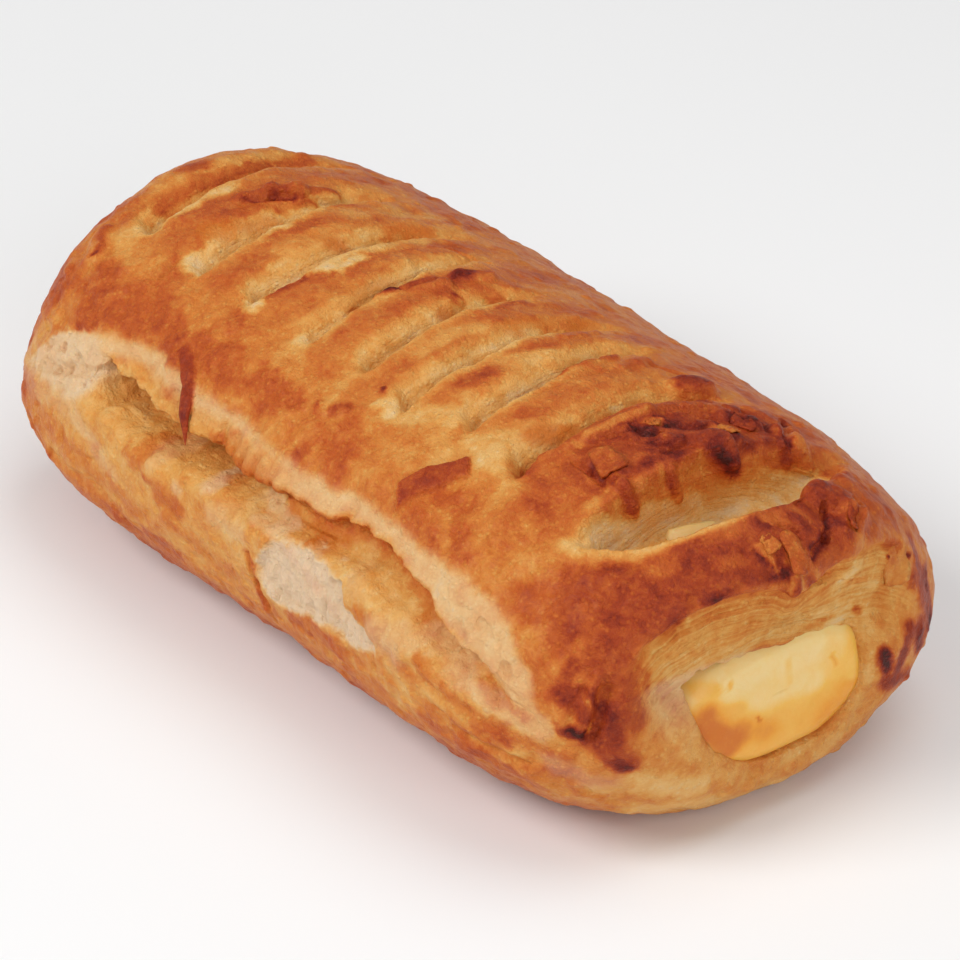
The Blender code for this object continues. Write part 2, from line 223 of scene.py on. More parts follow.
def sides(normals):
    # how much each point belongs to the top, the near side, the two ends, the far side and the underside
    return {
        "top": ease(0.30, 0.65, normals[:, 2]), "near": ease(0.20, 0.60, -normals[:, 1]),
        "front": ease(0.35, 0.80, normals[:, 0]), "back": ease(0.35, 0.80, -normals[:, 0]),
        "far": ease(0.20, 0.60, normals[:, 1]), "under": ease(0.30, 0.75, -normals[:, 2]),
    }


# slashes across the top: x at the near end, middle and far end, y start and stop, width, depth

slashes = [
    (-53.0, -53.8, -52.0, -19.5, 20.0, 5.8, 5.5),
    (-38.0, -38.0, -37.2, -20.5, 17.0, 4.2, 5.0),
    (-26.2, -24.6, -22.2, -20.5, 20.0, 3.8, 4.8),
    (-12.2, -12.8, -14.6, -20.5, 16.0, 3.0, 4.0),
    (-0.6, -1.0, -1.2, -19.5, 16.0, 3.6, 4.6),
    (10.2, 10.0, 11.6, -21.0, 20.0, 3.6, 4.6),
    (21.4, 20.5, 19.4, -18.0, 18.0, 3.6, 4.6),
    (34.2, 33.6, 35.2, -20.0, 20.0, 4.4, 5.2),
]
slashLook = {
    "end": 4.5, "slope": 1.5, "bend": 1.7, "edge": 0.24, "crest": 0.5, "crestAt": 2.1, "crestWidth": 2.0,
    "wobble": 0.4, "overhang": 0.7, "edgePale": (0.3, 2.2), "slopePale": (1.5, 0.5),
}
mouth = {
    "back": 48.0, "wide": 13.8, "taper": 0.12, "middle": 2.0, "half": 24.5,
    "floor": 36.8, "slope": 2.8, "bow": 2.5, "tips": 0.6,
}


def slashLine(slash, y):
    near, middle, far, start, stop = slash[:5]
    t = np.clip((y - start) / (stop - start), -0.1, 1.1)
    return near * (1 - t) * (1 - 2 * t) + 4 * middle * t * (1 - t) - far * t * (1 - 2 * t)


def slashRelief(x, y):
    # depth of the slashes, how far their sharp edges lean over them, and 1 on the pale slopes
    look = slashLook
    drop, crest, lean, pale = (np.zeros_like(x) for _ in range(4))
    for k, slash in enumerate(slashes):
        start, stop, gap, depth = slash[3:]
        wave = np.stack([0.0 * y + 9.0 * k, y, 0.0 * y], axis=1)
        across = x - slashLine(slash, y) - look["wobble"] * lattice(wave, 2.6, 11)
        width = gap * (1.0 + 0.22 * lattice(wave, 4.5, 12))
        ends = ease(0.0, look["end"], y - start) * ease(0.0, 3.0 * look["end"], stop - y)
        slope = look["slope"] * width * (0.45 + 0.55 * ends)
        behind = np.clip(1.0 + across / slope, 0.0, 1.0) ** look["bend"]
        ahead = 1.0 - ease(0.0, look["edge"] * width, across)
        drop = np.maximum(drop, ends * depth * np.where(across < 0.0, behind, ahead))
        crest = np.maximum(crest, ends * look["crest"] * hill(across - look["crestAt"], look["crestWidth"]))
        lean = np.maximum(lean, ends * hill(across - 0.6 * width, 0.6 * width))
        edge = 0.75 * (1.0 - ease(*look["edgePale"], across))
        behindPale = ease(*look["slopePale"], -across / width)
        pale = np.maximum(pale, ends * np.where(across < 0.0, behindPale, edge))
    return drop - crest, lean, pale


def mouthReach(y):
    t = np.clip((y - mouth["middle"]) / mouth["half"], -1.0, 1.0)
    wide = mouth["wide"] * (1.0 - mouth["taper"] * ease(4.0, 18.0, y))
    return wide * roundOff(t, mouth["bow"]) ** (mouth["tips"] * mouth["bow"]), t


def mouthRelief(x, y):
    # the widest slash: depth below the crust, 0 to 1
    reach, t = mouthReach(y)
    behind = (x - mouth["back"]) / mouth["slope"]
    ahead = (mouth["back"] + reach - x) / (0.7 * mouth["slope"])
    return ease(0.0, 1.0, behind) * ease(0.0, 1.0, ahead) * ease(0.0, 0.25, 1.0 - np.abs(t))


# near side: edge of the folded sheet, the roll under it and the torn patch, as x and z

seam = {
    "line": [
        (-70, 29.0), (-57, 31.0), (-50, 31.8), (-42, 33.5), (-36, 34.1), (-28, 34.2), (-24, 33.0),
        (-20, 32.4), (-14, 33.0), (-8, 33.7), (0, 33.0), (10, 33.2), (20, 34.7), (28, 34.3), (35, 32.8),
        (40, 30.8), (45, 29.2), (50, 28.4), (55, 26.6), (60, 24.2), (64, 22.0),
    ],
    "deep": 6.6, "shallow": 3.4, "change": -4.0, "lip": 2.5, "ragged": 0.9,
    "hollows": [(-36.5, 6.5, 1.6), (-11.5, 5.5, 1.2), (21.0, 9.0, 0.8)],
    "bandTop": [
        (-60, 24.4), (-58, 26.4), (-55, 29.4), (-52.4, 32.0), (-47.5, 34.2), (-43.6, 35.1), (-38, 36.1),
        (-33, 36.8), (-28, 36.6), (-25, 36.2), (-18, 36.5), (-9, 36.1), (4, 35.6), (8, 35.9), (22, 36.1),
        (28, 35.9), (34, 36.0), (40, 35.8), (47.5, 34.8), (50, 33.6), (53, 31.6), (56.5, 28.6),
        (58.4, 25.2), (59.6, 22.0),
    ],
    "bandLow": [
        (-50, 30.5), (-43, 32.6), (-38, 33.8), (-34, 34.2), (-30, 34.0), (-25, 33.8), (-18, 34.2),
        (-12, 34.9), (-5, 35.0), (0, 34.6), (5, 34.2), (12, 34.1), (20, 34.4), (25, 34.2), (30, 33.8),
        (35, 32.6), (40, 31.0), (48, 29.8), (54, 27.4), (58, 25.0),
    ],
}
roll = {"crease": [(-6, 27.0), (0, 28.6), (8, 29.9), (20, 30.9), (35, 28.8)], "depth": 0.9, "half": 1.4}
patch = {
    "outline": [
        (2.5, 22.8), (5, 25.8), (8, 27.3), (11, 28), (16, 27.9), (20.8, 27.4), (21.6, 26), (22.6, 24.2),
        (26, 23.6), (29.6, 22.4), (30, 21), (27, 20.6), (24.6, 19.6), (22, 19.6), (19.5, 20), (16.5, 19.4),
        (12.5, 18.4), (7, 17.4), (4, 18.6), (3, 21),
    ],
    "depth": 0.9, "fibre": 0.5,
    "pits": [
        (7.5, 26.0, 10.5, 25.4, 1.1, 0.32), (13.4, 24.9, 16.4, 23.9, 1.1, 0.36),
        (18.4, 23.2, 21.0, 22.4, 1.0, 0.30),
    ],
}


def insideOutline(x, z, outline):
    # signed distance to a closed outline in x and z, positive inside
    best, crossings = np.full(len(x), 1e9), np.zeros(len(x), dtype=int)
    for (ax, az), (bx, bz) in zip(outline, outline[1:] + outline[:1]):
        run = np.array([bx - ax, bz - az], dtype=float)
        share = np.clip(((x - ax) * run[0] + (z - az) * run[1]) / (run @ run), 0.0, 1.0)
        best = np.minimum(best, np.hypot(x - ax - share * run[0], z - az - share * run[1]))
        straddles = (az > z) != (bz > z)
        crossing = ax + (z - az) * (bx - ax) / np.where(straddles, bz - az, 1.0)
        crossings += straddles & (x < crossing)
    return np.where(crossings % 2 == 1, best, -best)


def aboveSeam(p):
    ragged = seam["ragged"] * roughNoise(p * (1.0, 0.0, 0.0), 5.0, 21, 4)
    return p[:, 2] - alongLine(p[:, 0], seam["line"]) - ragged


def seamFade(x):
    return ease(-69.0, -61.0, x) * (1.0 - ease(45.0, 59.0, x))


def sideRelief(p):
    # outward and downward shift on the near side
    x, z = p[:, 0], p[:, 2]
    above = aboveSeam(p)
    fade = seamFade(x)
    gap = mix(seam["deep"], seam["shallow"], ease(-12.0, 12.0, x - seam["change"]))
    for middle, half, more in seam["hollows"]:
        gap = gap + more * hill(x - middle, half)
    gap = gap * (1.0 - 0.92 * ease(-37.5, -42.5, x))
    recess = gap * fade * ease(0.4, -0.4, above) * ease(-7.5, -1.8, above)
    lip = seam["lip"] * (0.6 + 0.4 * ease(0.0, -12.0, x)) * (1.0 - 0.9 * ease(-38.0, -43.0, x))
    droop = lip * fade * ease(-0.2, 0.4, above) * (1.0 - ease(0.8, 4.0, above))
    start, stop = roll["crease"][0][0], roll["crease"][-1][0]
    run = ease(start, start + 6.0, x) * (1.0 - ease(stop - 6.0, stop, x))
    crease = roll["depth"] * run * hill(z - alongLine(x, roll["crease"]), roll["half"])
    wander = 0.8 * roughNoise(p, 2.6, 57, 3)
    torn = patch["depth"] * ease(-0.3, 0.7, insideOutline(x, z + wander, patch["outline"]))
    return -recess - crease - torn, droop


# a brown flap on the shoulder and drops of burnt glaze: stroke, radius at each end, height, browning
flap = {"a": (22.0, -29.4), "b": (27.6, -21.4), "half": 1.8, "height": 0.6, "browning": 0.70}
drips = [
    ((-27.8, -29.8, 38.7), (-23.8, -32.2, 36.8), 1.1, 1.7, 0.3, 0.72),
    ((-23.8, -32.2, 36.8), (-21.4, -34.0, 33.6), 1.7, 1.2, 0.45, 0.75),
]
hangingDrop = {
    "path": [
        (-24.0, -31.4, 36.0), (-22.4, -33.1, 34.6), (-21.0, -34.7, 32.8), (-19.8, -35.4, 31.2),
        (-18.9, -36.0, 29.3),
    ],
    "radius": (1.2, 1.25, 1.0, 0.6, 0.08), "flat": 0.55, "sides": 18, "rings": 26, "browning": 0.75,
}


def flapShare(p):
    a, b = np.array(flap["a"]), np.array(flap["b"])
    run = (b - a) / np.linalg.norm(b - a)
    wander = 0.35 * roughNoise(p, 2.2, 71, 2)
    along = np.abs((p[:, :2] - (a + b) / 2.0) @ run) - np.linalg.norm(b - a) / 2.0 + wander
    across = np.abs((p[:, :2] - (a + b) / 2.0) @ np.array([-run[1], run[0]])) - flap["half"] + wander
    return ease(0.25, -0.25, np.maximum(along, across)) * (p[:, 1] < 0.0) * (p[:, 2] > 30.0)


def dripShare(p, drip):
    a, b, first, last = drip[:4]
    distance, share = segmentDistance(p + 0.12 * lattice(p, 1.8, 72)[:, None], a, b)
    return ease(1.15, 0.7, distance / mix(first, last, share))


# ends: a cut face under an arch, and a hole that the filling fills

frontEnd = {
    "side": 1.0, "middle": 0.0, "half": 27.0, "foot": 25.2, "depth": 4.2, "fade": (26.0, 17.0),
    "arch": [
        (-27, 25.0), (-24.5, 31.0), (-22, 34.0), (-17, 36.7), (-11, 37.7), (-5, 37.8), (-2, 36.8),
        (0, 35.3), (2, 34.9), (4, 35.8), (8, 36.6), (13, 36.4), (18, 35.0), (23, 32.4), (27, 28.0),
    ],
    "hole": {
        "middle": -0.8, "half": 14.8, "waist": 22.8, "top": 24.9, "bottom": 9.4, "above": 5.0, "below": 2.5,
    },
}
backEnd = {
    "side": -1.0, "middle": 1.0, "half": 23.0, "foot": 24.0, "depth": 3.4, "fade": (25.0, 16.0),
    "arch": [
        (-22, 24.0), (-19, 29.0), (-14, 32.4), (-7, 34.0), (2, 34.4), (9, 33.6), (16, 31.0), (21, 26.5),
        (24, 22.0),
    ],
    "hole": {
        "middle": 1.0, "half": 12.5, "waist": 20.0, "top": 24.0, "bottom": 12.0, "above": 3.0, "below": 2.0,
    },
}


holeLook = {"tilt": 0.07, "skew": 0.14, "rim": 1.35, "deep": 6.0}


def holeGauge(end, y, z):
    # 1 on the edge of the hole and less inside it
    hole = end["hole"]
    z = z + holeLook["tilt"] * (y - hole["middle"])
    middle = hole["middle"] + holeLook["skew"] * (hole["waist"] - z)
    power = np.where(z < hole["waist"], hole["below"], hole["above"])
    reach = np.where(z < hole["waist"], hole["waist"] - hole["bottom"], hole["top"] - hole["waist"])
    across, up = np.abs((y - middle) / hole["half"]), np.abs((z - hole["waist"]) / reach)
    return (across ** power + up ** power) ** (1.0 / power)


def endRelief(end, p):
    # how far the end lies behind the rounded form, and 1 on its cut face
    y, z = p[:, 1], p[:, 2]
    z = z + 0.45 * roughNoise(p * (0.0, 1.0, 0.0), 5.0, 31, 3)
    arch = alongLine(y, end["arch"])
    slope = np.clip((arch - z) / 12.0, 0.0, 1.0)
    within = 1.0 - ease(end["half"] - 8.0, end["half"], np.abs(y - end["middle"]))
    within = within * ease(0.0, 1.1, arch - z) * ease(end["fade"][1], end["fade"][0], z)
    face = end["depth"] * (0.24 + 0.76 * slope) * within
    gauge = holeGauge(end, y, z)
    lip = 1.0 - ease(1.0, holeLook["rim"], gauge)
    hole = holeLook["deep"] * (1.0 - ease(0.92, 1.02, gauge))
    return np.maximum(face, lip) + hole, within


def newPiece(name, points, faces):
    mesh = bpy.data.meshes.new(name)
    mesh.from_pydata((points * mm).tolist(), [], faces.tolist() if hasattr(faces, "tolist") else faces)
    mesh.update()
    mesh.shade_smooth()
    piece = bpy.data.objects.new(name, mesh)
    bpy.context.scene.collection.objects.link(piece)
    return piece


def readPoints(piece):
    flat = np.empty(3 * len(piece.data.vertices))
    piece.data.vertices.foreach_get("co", flat)
    return flat.reshape(-1, 3) / mm


def readNormals(piece):
    flat = np.empty(3 * len(piece.data.vertices))
    piece.data.vertex_normals.foreach_get("vector", flat)
    return flat.reshape(-1, 3)


def writePoints(piece, points):
    piece.data.vertices.foreach_set("co", (points * mm).ravel())
    piece.data.update()


def writeMask(piece, name, values):
    layer = piece.data.attributes.new(name, "FLOAT", "POINT")
    layer.data.foreach_set("value", np.asarray(values, dtype=np.float32))


def applyModifier(piece, kind, **settings):
    modifier = piece.modifiers.new(kind.title(), kind)
    for key, value in settings.items():
        setattr(modifier, key, value)
    bpy.context.view_layer.objects.active = piece
    bpy.ops.object.modifier_apply(modifier=modifier.name)


crust = {
    "cells": 105, "step": 0.45, "voxel": 0.43, "faces": 192000,
    "lump": 0.34, "crumple": 0.18, "shag": 0.25, "wrinkle": 0.6, "layer": 0.22, "pore": 0.9,
    "blister": 0.25,
}


def buildCrustShape():
    points, faces = bodyGrid(loaf, crust["cells"], crust["step"])
    points[:, 1] += tuckIn(points)
    normals, _ = bodyFrame(points * 0.9995)
    part = sides(normals)
    x, y = points[:, 0], points[:, 1]
    drop, lean, _ = slashRelief(x, y)
    out, droop = sideRelief(points)
    shift = normals * (part["near"] * out)[:, None]
    depth = np.maximum(points[:, 2] - mouth["floor"], 0.0) * mouthRelief(x, y)
    shift[:, 2] -= part["top"] * np.maximum(drop, depth) + part["near"] * droop
    shift[:, 0] -= slashLook["overhang"] * part["top"] * lean
    for end, key in ((frontEnd, "front"), (backEnd, "back")):
        back, _ = endRelief(end, points)
        shift[:, 0] -= end["side"] * part[key] * back
    points = points + shift
    points[:, 2] = np.maximum(points[:, 2], 0.0)
    return newPiece("crust", points, faces)


# blisters and creases, laid on the finished surface: a to b in x and y (or x, y and z), radius, height

topSwellings = [
    (-60, -21, -57, -25, 1.5, 0.7), (-47.2, -5.6, -45.5, -1.6, 1.2, 0.8),
    (-45.5, -1.6, -43.5, 1.6, 1.3, 0.9), (-43.5, 1.6, -41.2, 6.6, 1.2, 0.6),
    (-12.8, -9, -12.2, -5, 0.8, 0.4), (-10.5, -2, -8.5, 2, 1.4, 0.5), (-9.6, 5.4, -7.6, 9, 1.3, 0.8),
    (-8, 1.5, -4.5, 0.4, 1.3, 0.35), (-0.6, -26.2, 3.2, -24.6, 1.1, 0.35), (12.8, 6, 13, 12, 0.9, 0.4),
    (20.4, -4, 21, 9, 0.9, 0.4), (23.5, 8, 23, 13, 1.2, 0.5), (30.5, 13, 31.5, 16, 2.0, 1.2),
    (36.4, -8, 36.4, 6, 1.0, 0.6), (37.4, 8, 39.4, 15, 1.0, 0.6), (40.6, -9.6, 44.2, -9.6, 2.0, 0.8),
    (38.6, -3, 40.6, -4, 1.1, 0.5), (43.2, -0.8, 44.4, 0.6, 1.0, 0.7), (42.6, 5.6, 42.4, 8, 1.0, 0.6),
    (44, 8.4, 47, 8.8, 1.2, 0.7), (41, 12, 43.5, 15, 1.5, 0.8), (46, 17.4, 49, 18.4, 1.8, 1.0),
    (38.5, 19, 44, 21.5, 1.3, 0.6), (45.2, 3.2, 47.8, 5.4, 1.8, 0.7), (60.4, 11.4, 63.2, 15.4, 2.3, 1.1),
    (64.4, 14.4, 67, 11.2, 1.7, 0.8), (57.5, 19, 61, 21, 1.8, 0.6), (34.5, -14, 35.5, 2, 1.3, 0.4),
    (-29, -31, -27.5, -33.5, 1.1, 0.5), (51.5, 19.5, 54, 21.5, 1.0, 0.5), (-52.5, -24, -50, -25, 1.2, 0.3),
    (-36, -24.5, -33, -26, 1.4, 0.3), (56, -24, 60, -20, 2.2, 0.35),
]
topCreases = [
    (-43.6, -19.5, -42.4, -23.0, 0.45, 0.35), (-42.4, -23, -44.5, -24.5, 0.4, 0.3),
    (-46.3, -6.2, -44.4, -2.2, 0.5, 0.5), (-44.4, -2.2, -42.6, 1.2, 0.5, 0.5),
    (38.6, -12.4, 42, -12.4, 0.5, 0.4), (42, -12.4, 45.4, -12.6, 0.6, 0.4),
    (39.8, 1.6, 42.2, 4.6, 0.9, 0.7), (40.6, -1.8, 42.2, -0.2, 0.7, 0.7), (38.2, 7, 41.8, 10.6, 0.45, 0.6),
    (38.8, 13, 43.6, 13.6, 0.45, 0.5), (39.4, 16.6, 45.8, 16, 0.7, 1.1), (40.8, 22.7, 48.2, 16.6, 0.6, 0.8),
    (38, -6, 40, -1, 0.45, 0.5), (45.8, -3, 46.4, 2.2, 0.5, 0.5), (63.2, 10.8, 67.2, 7.8, 0.5, 0.9),
    (67.2, 7.8, 68.6, 4.2, 0.5, 0.8), (61.2, 9.6, 62.4, 6.4, 0.45, 0.4), (62.6, 16, 66, 12.8, 0.45, 0.6),
    (65, 1.6, 66.8, 3.6, 0.5, 0.6), (10.5, -18, 12, -19, 0.5, 0.3), (22.5, -7, 24, 6, 0.5, 0.25),
    (-10.8, -3.5, -9.2, 5, 0.45, 0.35), (-19, 10, -13, 13, 0.5, 0.4), (24, 13, 29, 18, 0.5, 0.5),
]
wallSwellings = [
    # the same on the wide slash's back wall and on the open end, with z: spikes and burnt drops
    (47.0, 5.2, 45.8, 49.2, 5.6, 44.2, 2.3, 1.0), (49.2, 5.6, 44.2, 50.0, 6.4, 43.0, 1.5, 0.6),
    (46.0, -11.8, 46.0, 47.4, -11.2, 45.0, 1.3, 0.7), (47.4, -11.2, 45.0, 49.4, -10.9, 41.7, 0.9, 0.8),
    (48.6, -3.9, 45.6, 49.7, -3.5, 41.8, 0.8, 0.6), (48.4, 15.8, 42.2, 49.2, 15.8, 39.8, 0.9, 0.6),
    (69, 0.6, 38.4, 69.4, 0.2, 35.6, 0.9, 0.6), (49.6, -19, 39.4, 53, -15, 38.0, 1.5, 0.6),
]
nearSwellings = [
    # folds hanging from the sheet's edge and rolls of dough below it, x and z
    (-11.4, 34.0, -10.8, 31.2, 1.0, 0.6), (-8.2, 33.8, -7.6, 31.0, 0.9, 0.5),
    (-5.4, 33.6, -5.2, 30.8, 1.1, 0.6), (-2.4, 33.4, -2.4, 30.8, 0.9, 0.5),
    (1.6, 33.0, 1.2, 30.8, 1.0, 0.5), (-39, 32.8, -33, 31.6, 1.1, 0.5), (-33, 31.8, -27, 31.0, 1.0, 0.4),
    (37, 25.0, 44, 23.6, 2.0, 0.4), (44, 24, 51, 22.6, 1.6, 0.4), (51, 22.8, 60, 20.6, 1.4, 0.35),
    (44, 19.8, 52, 18, 1.4, 0.5), (47, 15, 57, 13.6, 1.8, 0.5), (63.4, 30, 63.2, 23, 0.8, 0.5),
    (61.6, 26, 61.9, 23, 1.5, 0.35), (66.2, 24, 66.6, 18, 1.6, 0.3), (24, 27.6, 29, 25.2, 2.2, 0.5),
    (30, 24.6, 35, 23.6, 2.2, 0.5), (3, 29.4, 14, 30.2, 1.2, 0.5), (-42, 25.6, -36, 27, 2.4, 0.4),
    (-27, 26.2, -20, 25.4, 2.4, 0.4), (-9, 26.6, -1, 26, 2.6, 0.4), (-58, 20, -50, 15, 2.2, 0.4),
    (-46, 14, -32, 13, 2.0, 0.4),
]
nearCreases = [
    (36, 22.6, 44, 20.8, 0.8, 0.3), (44, 20.8, 52, 18.2, 0.8, 0.3), (49.3, 25.2, 57.1, 23.4, 0.6, 0.4),
    (52.4, 28.6, 52.8, 28.0, 0.9, 1.1), (62.3, 28, 62.2, 22.4, 0.6, 0.3), (64.6, 28.6, 64.3, 22, 0.7, 0.7),
    (1, 22.4, 2.4, 18, 0.6, 0.5), (2.4, 18, 4.6, 12, 0.6, 0.5), (-56, 17.4, -48, 12.6, 0.7, 0.4),
    (-48, 16, -34, 15.4, 0.8, 0.4), (-54, 26.6, -48, 28.8, 0.7, 0.5), (-48, 28.8, -39.5, 31.4, 0.8, 0.8),
    (-13.6, 33.6, -13.4, 31, 0.6, 0.5), (-34, 30, -28, 28, 0.6, 0.4), (46, 16.8, 57, 15.6, 0.6, 0.4),
    (39, 27.2, 44, 26.6, 0.7, 0.3),
]
